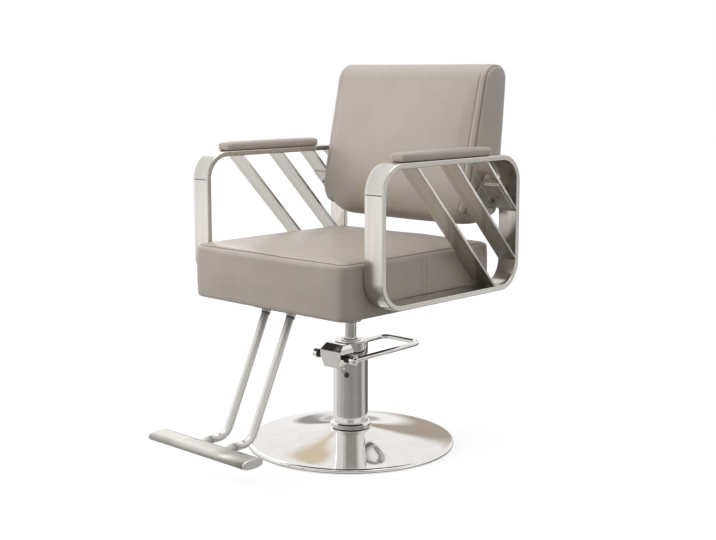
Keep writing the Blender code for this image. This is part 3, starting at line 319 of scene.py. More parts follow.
def polished_metal(name, light, dark, smooth, rough, mottle):
    """Metal with a plain surface: slow changes of tone, and wiped patches of gloss as wide as the mottle."""
    made, tree = new_material(name)
    place = add_node(tree, "ShaderNodeTexCoord").outputs["Object"]
    wiped = add_node(
        tree, "ShaderNodeTexNoise", {"Vector": place, "Scale": 1 / mottle, "Detail": 5.0, "Roughness": 0.65}
    )
    share = add_node(tree, "ShaderNodeMapRange", {"Value": wiped.outputs["Fac"], **NOISE_MOST})
    colour = add_node(
        tree,
        "ShaderNodeMix",
        {"Factor": share.outputs["Result"], "A": linear(dark), "B": linear(light)},
        data_type="RGBA",
    )
    gloss = add_node(
        tree, "ShaderNodeMapRange", {"Value": share.outputs["Result"], "To Min": rough, "To Max": smooth}
    )
    finish_material(
        tree,
        {"Base Color": colour.outputs["Result"], "Metallic": 1.0, "Roughness": gloss.outputs["Result"]},
    )
    return made


def moulded_rubber(name, light, dark):
    """Moulded nitrile rubber: dull, dusted paler in patches 12 mm wide, with a moulding grain of 0.8 mm."""
    patch, grain = 12 * MM, 0.8 * MM
    made, tree = new_material(name)
    place = add_node(tree, "ShaderNodeTexCoord").outputs["Object"]
    dust = add_node(tree, "ShaderNodeTexNoise", {"Vector": place, "Scale": 1 / patch, "Detail": 4.0})
    grit = add_node(tree, "ShaderNodeTexNoise", {"Vector": place, "Scale": 1 / grain, "Detail": 2.0})
    colour = add_node(
        tree,
        "ShaderNodeMix",
        {"Factor": dust.outputs["Fac"], "A": linear(dark), "B": linear(light)},
        data_type="RGBA",
    )
    relief = add_node(
        tree, "ShaderNodeBump", {"Height": grit.outputs["Fac"], "Strength": 0.2, "Distance": 0.1 * MM}
    )
    finish_material(
        tree,
        {"Base Color": colour.outputs["Result"], "Roughness": 0.62, "Normal": relief.outputs["Normal"]},
    )
    return made


def stained_plywood(name, light, dark, glue):
    """Birch plywood under black stain: matt and dark, with wavy grain along X and glue lines at its edges.

    The grain is 4 mm apart. The veneers are 1.5 mm thick; they are drawn at 3 mm, because finer ones do
    not show.
    """
    grain_size, veneer = Vector((120 * MM, 4 * MM, 3 * MM)), 2.97 * MM
    made, tree = new_material(name)
    place = add_node(tree, "ShaderNodeTexCoord").outputs["Object"]
    stretched = add_node(
        tree, "ShaderNodeMapping", {"Vector": place, "Scale": tuple(1 / size for size in grain_size)}
    )
    grain = add_node(
        tree, "ShaderNodeTexNoise", {"Vector": stretched.outputs["Vector"], "Scale": 1.0, "Detail": 5.0}
    )
    veneers = add_node(
        tree,
        "ShaderNodeTexWave",
        {"Vector": place, "Scale": AXIS_BAND / veneer, "Distortion": 0.4},
        bands_direction="Z",
    )
    wood = add_node(
        tree,
        "ShaderNodeMix",
        {"Factor": grain.outputs["Fac"], "A": linear(dark), "B": linear(light)},
        data_type="RGBA",
    )
    edge = add_node(
        tree,
        "ShaderNodeMapRange",
        {"Value": veneers.outputs["Fac"], "From Max": 0.25, "To Min": 0.5, "To Max": 0.0},
    )
    colour = add_node(
        tree,
        "ShaderNodeMix",
        {"Factor": edge.outputs["Result"], "A": wood.outputs["Result"], "B": linear(glue)},
        data_type="RGBA",
    )
    finish_material(tree, {"Base Color": colour.outputs["Result"], "Roughness": 0.68})
    return made


# Chrome plate over polished steel: a mirror, slightly warm, with faint wiped smears about 40 mm wide
bright_chrome = polished_metal("bright_chrome_plate", "#ECEAE8", "#E2DFDC", 0.03, 0.07, 40 * MM)
# Ground and plated steel of the ram and the gland: a softer mirror
ground_chrome = polished_metal("ground_hard_chrome", "#DAD7D4", "#CFCBC7", 0.10, 0.16, 25 * MM)
# Zinc plate on stamped steel and fasteners: dull grey with a cloudy bloom
zinc_steel = polished_metal("zinc_plated_steel", "#B9B6B4", "#9C9997", 0.28, 0.42, 10 * MM)
# Steel of the filler plug, coloured dark as a painted reflection, the dark that the chrome shows at that
# spot; it has an oily gleam
plug_painted_reflection = polished_metal("plug_painted_reflection_steel", "#676361", "#4C4947", 0.22, 0.36, 8 * MM)
# Turned and honed steel inside the pump: oiled and darker
honed_steel = polished_metal("honed_pump_steel", "#A5A3A2", "#8B8988", 0.22, 0.34, 14 * MM)
# Rolled steel of the base plate, seat plate and arm angles under a thin grey primer: dark and dull
rolled_steel = polished_metal("primed_rolled_steel", "#7E7C7A", "#656361", 0.42, 0.55, 30 * MM)
# Stainless flat bar of the arms, buffed after brushing: it mirrors the room softly
arm_stainless = brushed_stainless("brushed_stainless_bar", "#D8D5D0", "#CCC8C3", 0.17, 0.26)
# Stainless tube of the footrest, left satin: pale, without sharp reflections
foot_stainless = brushed_stainless("satin_stainless_tube", "#F2F0ED", "#E8E5E1", 0.46, 0.56)
# Stainless foot plate, satin like the tubes but a little greyer
plate_stainless = brushed_stainless("satin_stainless_plate", "#CFCCC8", "#C4C1BC", 0.46, 0.56)
# Bright zinc plate on the folded brackets: polished, so that it passes for the bars beside it
bracket_steel = polished_metal("bright_zinc_bracket", "#D2CEC9", "#C2BDB8", 0.22, 0.32, 16 * MM)
# Weld bead, ground nearly flush: a dull dark line across the bright bar, whose darkness paints the dark
# reflection line where the bend meets the flat
weld_painted_reflection = polished_metal("dark_line_painted_weld", "#6B6662", "#565250", 0.35, 0.50, 6 * MM)
# Leatherette of the cushions: greige, with a soft sheen
cushion_leatherette = embossed_leatherette("greige_leatherette", "#B3A99F", "#AEA49A", 0.34)
# Leatherette of the rear panel: darker and duller
rear_leatherette = embossed_leatherette("greige_leatherette_rear", "#A99E93", "#9F9489", 0.46)
# Leatherette folded into the seams of the backrest: dark, because it lies in its own shade
seam_leatherette = embossed_leatherette("shaded_leatherette_seam", "#80756B", "#70665D", 0.55)
# Leatherette stretched over the cord round the seat's top: painted a little paler than the cushion, as the
# highlight that the welt catches
welt_leatherette_painted_highlight = embossed_leatherette("welt_leatherette_painted_highlight", "#BDB3A9", "#B3A99F", 0.34)
# Thread of the stitches: darker than the leatherette and matt
seam_thread = spun_thread("greige_thread", "#948A7F", "#7C7268")
# Black rubber of seals, of the bushes and of the ring under the pump's cap: nearly no gleam; on that ring and
# on the bushes its black is also painted shade
black_rubber = moulded_rubber("black_nitrile_rubber", "#2B2A29", "#161616")
# Brown grey rubber of the ferrules: the brown grey is painted shade, the seat's shadow on the tops of the
# tubes
ferrule_painted_shade = moulded_rubber("painted_shade_grey_rubber", "#8C8178", "#7B7169")
# Seat board: it gives the chrome below a dark underside to mirror
seat_plywood = stained_plywood("black_stained_plywood", "#4A4540", "#37322E", "#221E1B")


# Shapes


def piece(name, mesh, material, body, replaces=()):
    """Puts a mesh into the scene as a piece that rides on a CAD body and may stand for some of its nodes."""
    made = bpy.data.objects.new(name, mesh)
    bpy.context.scene.collection.objects.link(made)
    mesh.materials.append(material)
    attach(made, body)
    if replaces:
        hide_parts(*replaces)
    return made


def rigid(name, mesh, material, body, replaces=()):
    """A hard piece, whose flat faces stay flat beside their eased edges."""
    made = piece(name, mesh, material, body, replaces)
    made.modifiers.new("even_faces", "WEIGHTED_NORMAL")
    return made


def eased(points, radius, steps=4, closed=True):
    """A line with its corners rounded to arcs of the radius, or of each corner's own radius."""
    points = [Vector(p) for p in points]
    radii = radius if isinstance(radius, (list, tuple)) else [radius] * len(points)
    made = []
    for index, (corner, wanted) in enumerate(zip(points, radii)):
        if wanted == 0 or (not closed and index in (0, len(points) - 1)):
            made.append(corner)
            continue
        before = points[index - 1] - corner
        after = points[(index + 1) % len(points)] - corner
        back, on = before.normalized(), after.normalized()
        half = back.angle(on) / 2
        reach = min(wanted / math.tan(half), ARC_SHARE * before.length, ARC_SHARE * after.length)
        actual = reach * math.tan(half)
        centre = corner + (back + on).normalized() * (actual / math.sin(half))
        first = (corner + back * reach - centre).normalized()
        last = corner + on * reach - centre
        second = (last - first * last.dot(first)).normalized()
        for step in range(steps + 1):
            angle = (math.pi - 2 * half) * step / steps
            made.append(centre + actual * (first * math.cos(angle) + second * math.sin(angle)))
    return made


def rectangle(left, right, low, high, edge):
    """Outline of a rectangle with its corners eased; turned about Z it is a plain ring."""
    return eased([(left, low), (right, low), (right, high), (left, high)], edge)


def lengths(points, closed):
    """Distance along a line at each of its points, and once more at its start if it is closed."""
    total, made = 0.0, [0.0]
    for first, second in zip(points, points[1:] + (points[:1] if closed else [])):
        total += (Vector(second) - Vector(first)).length
        made.append(total)
    return made


def loft(rings, closed=False):
    """Mesh of a skin over rings of points that match one to one, with a surface map in metres."""
    shape = bmesh.new()
    chart = shape.loops.layers.uv.new("surface")
    rows = [[shape.verts.new(p) for p in ring] for ring in rings]
    count = len(rows[0])
    around = lengths(max(rings, key=lambda ring: lengths(ring, True)[-1]), True)
    middles = [sum((Vector(p) for p in ring), Vector()) / count for ring in rings]
    one_middle = max((m - middles[0]).length for m in middles) < 1 * MM
    along = lengths([ring[0] for ring in rings] if closed or one_middle else middles, closed)
    for r in range(len(rows) if closed else len(rows) - 1):
        here, there = rows[r], rows[(r + 1) % len(rows)]
        for k in range(count):
            m = (k + 1) % count
            face = shape.faces.new((here[k], here[m], there[m], there[k]))
            for loop, (s, t) in zip(face.loops, ((k, r), (k + 1, r), (k + 1, r + 1), (k, r + 1))):
                loop[chart].uv = (around[s], along[t])
    if not closed:
        for row in (rows[0], rows[-1]):
            cap = shape.faces.new(row)
            for loop in cap.loops:
                loop[chart].uv = loop.vert.co.xy
    return to_mesh(shape)


def to_mesh(shape):
    """The mesh of a finished shape, smooth and with its faces outwards."""
    for face in shape.faces:
        face.smooth = True
    bmesh.ops.recalc_face_normals(shape, faces=shape.faces)
    mesh = bpy.data.meshes.new("form")
    shape.to_mesh(mesh)
    shape.free()
    return mesh


def toward(direction, origin=(0, 0, 0)):
    """The place whose Z axis points along the direction."""
    return Matrix.Translation(origin) @ Vector(direction).to_track_quat("Z", "Y").to_matrix().to_4x4()


def axes(origin, x_axis, y_axis):
    """The place whose X and Y axes are these."""
    x_axis, y_axis = Vector(x_axis), Vector(y_axis)
    turn = Matrix((x_axis, y_axis, x_axis.cross(y_axis))).transposed().to_4x4()
    return Matrix.Translation(origin) @ turn


def turned(profile, sides=96, place=None, closed=True):
    """Mesh turned about Z from radius and height pairs; an open profile is capped flat at its ends."""
    turns = [2 * math.pi * k / sides for k in range(sides)]
    rings = [[(r * math.cos(a), r * math.sin(a), z) for a in turns] for r, z in profile]
    mesh = loft(rings, closed)
    if place is not None:
        mesh.transform(place)
    return mesh


def tube(path, radius, up, sides=28, closed=False):
    """Mesh of a round bar along a path that lies in the plane square to up."""
    path = [Vector(p) for p in path]
    turns = [2 * math.pi * k / sides for k in range(sides)]
    rings = []
    for index, spot in enumerate(path):
        before = path[index - 1] if index or closed else spot
        after = path[(index + 1) % len(path)] if index + 1 < len(path) or closed else spot
        ahead = (after - before).normalized()
        side = ahead.cross(Vector(up)).normalized()
        top = side.cross(ahead)
        rings.append([spot + radius * (side * math.cos(a) + top * math.sin(a)) for a in turns])
    return loft(rings, closed)


def prism(outline, depth, place, edge, steps=2):
    """Mesh of an outline from the place's XY plane along its Z, with its sharp edges eased."""
    shape = bmesh.new()
    low = [shape.verts.new((x, y, 0)) for x, y in outline]
    high = [shape.verts.new((x, y, depth)) for x, y in outline]
    shape.faces.new(low)
    shape.faces.new(high)
    for k in range(len(low)):
        m = (k + 1) % len(low)
        shape.faces.new((low[k], low[m], high[m], high[k]))
    bmesh.ops.recalc_face_normals(shape, faces=shape.faces)
    ease_edges(shape, edge, steps)
    shape.transform(place)
    return to_mesh(shape)


def ease_edges(shape, edge, steps):
    """Rounds the sharp edges of a shape."""
    sharp = [e for e in shape.edges if len(e.link_faces) == 2 and e.calc_face_angle() > SHARP_ANGLE]
    bmesh.ops.bevel(
        shape, geom=sharp, offset=edge, segments=steps, profile=0.5, affect="EDGES", clamp_overlap=True
    )


# Base and column


def dish_lines():
    """Outer line of the base dish, as radius and height pairs: its flare, and its rim rolled to the floor."""
    low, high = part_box("base_dish")
    neck, roll, lip = COLUMN_RADIUS + 1.2 * MM, 8.5 * MM, 3.5 * MM
    flare_steps, rim_steps = 44, 12
    # Powers that bunch the points near the neck and bend the flare
    bunching, bending = 1.4, 1.35
    edge, level = high.x - roll, low.z + lip + roll
    flare, rim = [], []
    for step in range(flare_steps):
        share = (step / flare_steps) ** bunching
        flare.append((neck + (edge - neck) * share, level + (high.z - level) * (1 - share) ** bending))
    for step in range(rim_steps + 1):
        angle = math.pi / 2 * (1 - step / rim_steps)
        rim.append((edge + roll * math.cos(angle), level - roll + roll * math.sin(angle)))
    rim.append((high.x, low.z))
    return flare, rim


def build_dish():
    """The spun base dish: a thin shell with a rolled rim."""
    flare, rim = dish_lines()
    wall, bore = 1.4 * MM, COLUMN_RADIUS + 0.6 * MM
    # The inner line is the outer one lowered by the wall, and drawn in by part of it on flare and roll
    flare_share, roll_share = 0.6, 0.4
    roll_start, lower_roll, foot = rim[1], rim[8], rim[-1]
    under = [(max(r - wall * flare_share, bore), z - wall) for r, z in flare + rim[:1]]
    under.append((roll_start[0] - wall * roll_share, roll_start[1] - wall))
    under += [(foot[0] - wall, lower_roll[1] - wall), (foot[0] - wall, foot[1])]
    shell_mesh = turned(flare + rim + under[::-1], sides=160)
    rigid("dish_shell", shell_mesh, bright_chrome, "base", ["base_dish"])


def build_column():
    """The collar at the foot of the column, and the column's sleeve with its foot flange."""
    low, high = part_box("column_collar")
    bore, bevel = COLUMN_RADIUS + SLIDE_GAP, 4 * MM
    collar = eased(
        [
            (bore, low.z),
            (high.x, low.z),
            (high.x, high.z - bevel),
            (high.x - bevel, high.z),
            (bore, high.z),
        ],
        1.2 * MM,
    )
    rigid("foot_collar", turned(collar, sides=128), bright_chrome, "base", ["column_collar"])

    low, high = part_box("column_tube")
    inside, flange = COLUMN_RADIUS - 4 * MM, low.z + 10 * MM
    sleeve = eased(
        [
            (inside, low.z),
            (high.x, low.z),
            (high.x, flange),
            (COLUMN_RADIUS, flange),
            (COLUMN_RADIUS, high.z),
            (inside, high.z),
        ],
        0.7 * MM,
    )
    rigid("column_sleeve", turned(sleeve, sides=128), bright_chrome, "base", ["column_tube"])


def build_plug():
    """The filler plug on the side of the column, with a recess in its face."""
    middle = sum(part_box("oil_plug"), Vector()) / 2
    out = Vector((middle.x, middle.y, 0)).normalized()
    place = toward(out, out * COLUMN_RADIUS + Z * middle.z)
    thread, head, socket = 5 * MM, 7 * MM, 3 * MM
    depth, face, recess, bevel = 4 * MM, 3 * MM, 1.6 * MM, 1 * MM
    plug = eased(
        [
            (2 * CORE_RADIUS, -depth),
            (thread, -depth),
            (thread, 0),
            (head, SLIDE_GAP),
            (head, face - bevel),
        ],
        0.4 * MM,
    )
    plug += eased(
        [(head - bevel, face), (socket, face), (socket - SNUG_GAP, recess), (CORE_RADIUS, recess)],
        0.3 * MM,
        closed=False,
    )
    plug_mesh = turned(plug, sides=32, place=place, closed=False)
    # The plug's dark colour is a painted dark reflection
    rigid("filler_plug", plug_mesh, plug_painted_reflection, "base", ["oil_plug"])


# Pump


def lever_block():
    """Mesh of the cast block that carries the pedal: a box with a sloping top, tapered above and below."""
    low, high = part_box("pump_head")
    front, inside = low.y, -22 * MM
    foot, top = low.z, high.z - 2 * MM
    slope_foot, taper_top = top - 16.5 * MM, foot + 25.5 * MM
    # Ways that the cut faces look
    slope, shoulder, taper = Vector((0, -16.5, 15)), Vector((17.5, 0, 6)), Vector((26.5, 0, -14))
    cuts = [(Vector((0, front, slope_foot)), slope)]
    for side, _ in SIDES:
        mirror = Matrix.Diagonal((side, 1, 1))
        cuts.append((mirror @ Vector((BLOCK_HALF, 0, slope_foot)), mirror @ shoulder))
        cuts.append((mirror @ Vector((BLOCK_HALF, 0, taper_top)), mirror @ taper))
    shape = bmesh.new()
    size = Vector((2 * BLOCK_HALF, inside - front, top - foot))
    spot = Vector((0, (front + inside) / 2, (foot + top) / 2))
    bmesh.ops.create_cube(shape, size=1, matrix=Matrix.Translation(spot) @ Matrix.Diagonal((*size, 1)))
    for through, away in cuts:
        cut = bmesh.ops.bisect_plane(
            shape,
            geom=shape.verts[:] + shape.edges[:] + shape.faces[:],
            plane_co=through,
            plane_no=away.normalized(),
            clear_outer=True,
        )
        rim = [e for e in cut["geom_cut"] if isinstance(e, bmesh.types.BMEdge)]
        bmesh.ops.holes_fill(shape, edges=rim)
    bmesh.ops.recalc_face_normals(shape, faces=shape.faces)
    ease_edges(shape, edge=1.6 * MM, steps=3)
    return to_mesh(shape)


def build_head():
    """The cast pump head: a cap over the column, the lever block on its front, and a black ring in the groove
    under the cap, which paints the dark shadow line there.
    """
    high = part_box("pump_head")[1]
    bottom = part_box("column_tube")[1].z + SLIDE_GAP
    groove = bottom + 7 * MM
    bore, neck = 20 * MM, COLUMN_RADIUS - 2.5 * MM
    cap = eased(
        [
            (bore, high.z),
            (COLUMN_RADIUS, high.z),
            (COLUMN_RADIUS, groove),
            (neck, groove),
            (neck, bottom),
            (bore, bottom),
        ],
        [0.5 * MM, 2.4 * MM, 1.0 * MM, 0.4 * MM, 0.3 * MM, 0.3 * MM],
    )
    casting = bmesh.new()
    casting.from_mesh(turned(cap, sides=128))
    casting.from_mesh(lever_block())
    rigid("pump_casting", to_mesh(casting), bright_chrome, "base", ["pump_head"])
    # A black ring in the groove under the cap: painted shadow, the dark line between cap and column
    inside, outside = COLUMN_RADIUS - 8 * MM, COLUMN_RADIUS - 2.2 * MM
    painted_shadow_ring = rectangle(inside, outside, bottom + SNUG_GAP, groove - SNUG_GAP, edge=0.4 * MM)
    rigid("head_painted_shadow_ring", turned(painted_shadow_ring), black_rubber, "base")


def build_gland():
    """The gland round the ram on top of the pump head, and the lip that wipes the ram."""
    low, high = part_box("gland_nut")
    bore, thread, seat = RAM_RADIUS + SLIDE_GAP, 19.8 * MM, 18.3 * MM
    top, head_foot, seat_foot = high.z, high.z - 2 * MM, high.z - 4 * MM
    gland = eased(
        [
            (seat, top),
            (high.x, top),
            (high.x, head_foot),
            (thread, head_foot),
            (thread, low.z),
            (bore, low.z),
            (bore, seat_foot),
            (seat, seat_foot),
        ],
        0.5 * MM,
        steps=3,
    )
    rigid("gland_ring", turned(gland, sides=72), ground_chrome, "base", ["gland_nut"])
    low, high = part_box("wiper_seal")
    lip, outside = 16.4 * MM, 18 * MM
    wiper = eased(
        [(bore, high.z), (lip, high.z), (outside, high.z - 1 * MM), (outside, low.z), (bore, low.z)],
        0.3 * MM,
    )
    rigid("wiper_lip", turned(wiper, sides=72), black_rubber, "base", ["wiper_seal"])


def build_pedal():
    """The pivot shaft, the pedal lever of bent rod with an eye at each end, and a black bush beside each eye,
    whose black also paints the deep shade between the block and the eye.
    """
    low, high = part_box("pedal_shaft")
    pivot, end = (low + high) / 2, high.x
    tip, tip_length = SHAFT_RADIUS - 2.4 * MM, 3 * MM
    shaft = eased(
        [
            (CORE_RADIUS, -end),
            (tip, -end),
            (SHAFT_RADIUS, -end + tip_length),
            (SHAFT_RADIUS, end - tip_length),
            (tip, end),
            (CORE_RADIUS, end),
        ],
        1.2 * MM,
        closed=False,
    )
    shaft_mesh = turned(shaft, sides=48, place=toward(X, pivot), closed=False)
    rigid("pivot_shaft", shaft_mesh, bright_chrome, "pump_lever", ["pedal_shaft"])

    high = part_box("pedal_lever")[1]
    half, rear = high.x - LEVER_EYE_HALF, high.y - LEVER_RADIUS
    root, rise = 10 * MM, 5 * MM
    start = pivot + Vector((half, root, root * rise / (rear - pivot.y)))
    corner = Vector((half, rear, pivot.z + rise))
    mirror = Matrix.Diagonal((-1, 1, 1))
    path = eased([start, corner, mirror @ corner, mirror @ start], LEVER_BEND, steps=14, closed=False)
    bore, eye_radius, bush_radius = SHAFT_RADIUS + SNUG_GAP, 12.3 * MM, 9.6 * MM
    eye = rectangle(bore, eye_radius, -LEVER_EYE_HALF, LEVER_EYE_HALF, edge=1.4 * MM)
    lever = bmesh.new()
    lever.from_mesh(tube(path, LEVER_RADIUS, Z, sides=32))
    for side, _ in SIDES:
        lever.from_mesh(turned(eye, sides=56, place=toward(X, pivot + X * side * half)))
    rigid("pedal_rod", to_mesh(lever), bright_chrome, "pump_lever", ["pedal_lever"])

    near, far = BLOCK_HALF + 2 * SLIDE_GAP, half - LEVER_EYE_HALF - SLIDE_GAP
    bush = rectangle(bore, bush_radius, near, far, edge=0.8 * MM)
    # Black bushes beside the eyes, whose black also paints the deep shade between the block and each eye
    for side, label in SIDES:
        bush_mesh = turned(bush, sides=40, place=toward(X * side, pivot))
        rigid(f"shaft_bush_painted_shade_{label}", bush_mesh, black_rubber, "pump_lever")


def build_ram():
    """The lift ram, and the hub under the seat that takes it."""
    low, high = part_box("ram_rod")
    ram = eased(
        [(CORE_RADIUS, low.z), (RAM_RADIUS, low.z), (RAM_RADIUS, high.z), (CORE_RADIUS, high.z)],
        0.6 * MM,
        closed=False,
    )
    ram_mesh = turned(ram, sides=72, closed=False)
    rigid("lift_ram", ram_mesh, ground_chrome, "seat", ["ram_rod"])
    low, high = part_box("seat_hub")
    edges = [0.3 * MM, 2 * MM, 0.3 * MM, 0.3 * MM]
    hub = rectangle(RAM_RADIUS + SLIDE_GAP, high.x, low.z, high.z, edges)
    rigid("swivel_hub", turned(hub, sides=72), zinc_steel, "seat", ["seat_hub"])


# Arms


def loop_line(low, high):
    """Middle line of an arm's bent bar in side view, as points with the outward way at each."""
    bend_steps, long_gap, pitch = 24, 20 * MM, 40 * MM
    bend = BAR_BEND - BAR_THICKNESS / 2
    front, rear = low.y + BAR_BEND, high.y - BAR_BEND
    foot, top = low.z + BAR_BEND, high.z - BAR_BEND
    bends = []
    for turn, (y, z) in enumerate(((rear, top), (front, top), (front, foot), (rear, foot))):
        for step in range(bend_steps + 1):
            angle = math.pi / 2 * (turn + step / bend_steps)
            out = Vector((0, math.cos(angle), math.sin(angle)))
            bends.append((Vector((0, y, z)) + bend * out, out))
    filled = []
    for (spot, out), (after, _) in zip(bends, bends[1:] + bends[:1]):
        filled.append((spot, out))
        gap = (after - spot).length
        if gap > long_gap:
            count = int(gap / pitch)
            filled += [(spot.lerp(after, k / count), out) for k in range(1, count)]
    return filled


def build_arm(label):
    """The bent bar of one arm, its weld and its three slats."""
    low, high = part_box(f"arm_loop_{label}")
    section = rectangle(-BAR_THICKNESS / 2, BAR_THICKNESS / 2, low.x, high.x, BAR_EDGE)
    rings = [[spot + out * a + X * b for a, b in section] for spot, out in loop_line(low, high)]
    bar = loft(rings, closed=True)
    rigid(f"arm_frame_{label}", bar, arm_stainless, "seat", [f"arm_loop_{label}"])
    build_weld(label, low, high)
    for name in ("front", "middle", "rear"):
        build_slat(name, label, low.x, high.x)


def build_weld(label, low, high):
    """The dressed weld across the front of the bar, where its upper bend ends; its dark colour paints the
    reflection line there.
    """
    inset, half, depth, sunk = 3 * MM, 1.1 * MM, 0.5 * MM, 0.32 * MM
    outline = rectangle(low.x + inset, high.x - inset, -half, half, edge=0.9 * MM)
    place = axes((0, low.y + sunk, high.z - BAR_BEND), X, Z)
    weld = prism(outline, depth, place, edge=0.15 * MM, steps=1)
    # The weld's dark colour is a painted reflection line
    rigid(f"arm_weld_{label}", weld, weld_painted_reflection, "seat")


def build_slat(name, label, left, right):
    """A slanting slat, cut to end on the upper bar, and on the lower bar in front or the rear bar behind."""
    node = f"arm_slat_{name}_{label}"
    low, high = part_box(node)
    head = Vector((0, low.y + SLAT_THICKNESS / 2 / math.sin(SLAT_ANGLE), high.z))
    foot = Vector((0, high.y, low.z))
    section = rectangle(-SLAT_THICKNESS / 2, SLAT_THICKNESS / 2, left, right, SLAT_EDGE)
    rings = []
    for through, normal in ((head, Z), (foot, Z if name == "front" else Y)):
        ring = []
        for a, b in section:
            spot = head + SLAT_OFF * a + X * b
            ring.append(spot + SLAT_AHEAD * ((through - spot).dot(normal) / SLAT_AHEAD.dot(normal)))
        rings.append(ring)
    rings.insert(1, [p.lerp(q, 0.5) for p, q in zip(*rings)])
    rigid(f"arm_bar_{name}_{label}", loft(rings), arm_stainless, "seat", [node])


def build_brackets():
    """The angles that join the rear slats to the backrest: one leg on the slat, the other on the backrest."""
    slat_leg, back_leg, wall, length, reach = 58 * MM, 36 * MM, 4 * MM, 86 * MM, 95 * MM
    outline = eased(
        [(0, 0), (slat_leg, 0), (slat_leg, wall), (wall, wall), (wall, back_leg), (0, back_leg)],
        [3 * MM, 0.8 * MM, 0.8 * MM, 2 * MM, 0.8 * MM, 0.8 * MM],
    )
    for side, label in SIDES:
        node = f"back_bracket_{label}"
        low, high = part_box(node)
        slat_low, slat_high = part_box(f"arm_slat_rear_{label}")
        foot = Vector((0, slat_high.y, slat_low.z + SLAT_THICKNESS / 2 / math.cos(SLAT_ANGLE)))
        inner = low.x if side > 0 else high.x
        origin = X * inner + foot - SLAT_OFF * (SLAT_THICKNESS / 2 + SLIDE_GAP) - SLAT_AHEAD * reach
        place = axes(origin, X, -SLAT_OFF)
        angle = prism([(side * x, y) for x, y in outline], length, place, edge=0.6 * MM)
        rigid(f"support_angle_{label}", angle, bracket_steel, "seat", [node])


# Seat plate and footrest


def build_seat_plate():
    """The plate under the seat, with a tongue that reaches forward to the footrest."""
    low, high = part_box("seat_plate")
    half, tongue = high.x, 67.3 * MM
    shoulder = -half - 20 * MM
    outline = eased(
        [
            (-half, half),
            (-half, -half),
            (-tongue, shoulder),
            (-tongue, low.y),
            (tongue, low.y),
            (tongue, shoulder),
            (half, -half),
            (half, half),
        ],
        6 * MM,
    )
    place = Matrix.Translation((0, 0, high.z - PLATE_THICKNESS))
    plate = prism(outline, PLATE_THICKNESS, place, edge=0.6 * MM)
    rigid("seat_mount", plate, rolled_steel, "seat", ["seat_plate"])


def build_legs():
    """The footrest's tubes, each with the socket that takes it and a rubber ferrule."""
    down = Vector((0, -math.sin(TUBE_TILT), -math.cos(TUBE_TILT)))
    plate_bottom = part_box("seat_plate")[1].z - PLATE_THICKNESS
    bore = TUBE_RADIUS + SNUG_GAP
    socket_wall, socket_above, socket_below = 1.8 * MM, 1 * MM, 12 * MM
    socket = rectangle(bore, TUBE_RADIUS + socket_wall, -socket_above, socket_below, edge=0.5 * MM)
    ferrule_wall, ferrule_half = 0.8 * MM, 3 * MM
    ferrule = rectangle(bore, TUBE_RADIUS + ferrule_wall, -ferrule_half, ferrule_half, edge=0.25 * MM)
    for _, label in SIDES:
        node = f"footrest_tube_{label}"
        low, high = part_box(node)
        x = (low.x + high.x) / 2
        top_y = high.y - TUBE_RADIUS * math.cos(TUBE_TILT)
        top = Vector((x, top_y, high.z - TUBE_RADIUS * math.sin(TUBE_TILT)))
        knee = top + down * ((FOOT_LEVEL - top.z) / down.z)
        end = Vector((x, low.y, FOOT_LEVEL))
        path = eased([top, knee, end], TUBE_BEND, steps=18, closed=False)
        leg = tube(path, TUBE_RADIUS, X, TUBE_SIDES)
        rigid(f"footrest_leg_{label}", leg, foot_stainless, "seat", [node])
        root = top + down * ((plate_bottom - top.z) / down.z)
        socket_mesh = turned(socket, sides=48, place=toward(down, root))
        rigid(f"leg_socket_{label}", socket_mesh, foot_stainless, "seat")
        node = f"tube_ferrule_{label}"
        middle = sum(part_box(node), Vector()) / 2
        ferrule_mesh = turned(ferrule, sides=48, place=toward(-down, middle))
        # The ferrule's brown grey is painted shade from the seat above
        rigid(f"leg_ferrule_{label}", ferrule_mesh, ferrule_painted_shade, "seat", [node])


def flattened_end(x, start_y, end_y):
    """Mesh of the end of a footrest tube, which is pressed flat where it goes into the foot plate."""
    turns = [2 * math.pi * k / TUBE_SIDES for k in range(TUBE_SIDES)]
    rings = []
    for share in SPADE_STEPS:
        flat = share * share * (3 - 2 * share)
        wide = TUBE_RADIUS * (1 - flat) + SPADE_WIDTH / 2 * flat
        tall = TUBE_RADIUS * (1 - flat) + SPADE_HEIGHT / 2 * flat
        y = start_y + (end_y - start_y) * share
        rings.append([(x + wide * math.cos(a), y, FOOT_LEVEL + tall * math.sin(a)) for a in turns])
    return loft(rings)


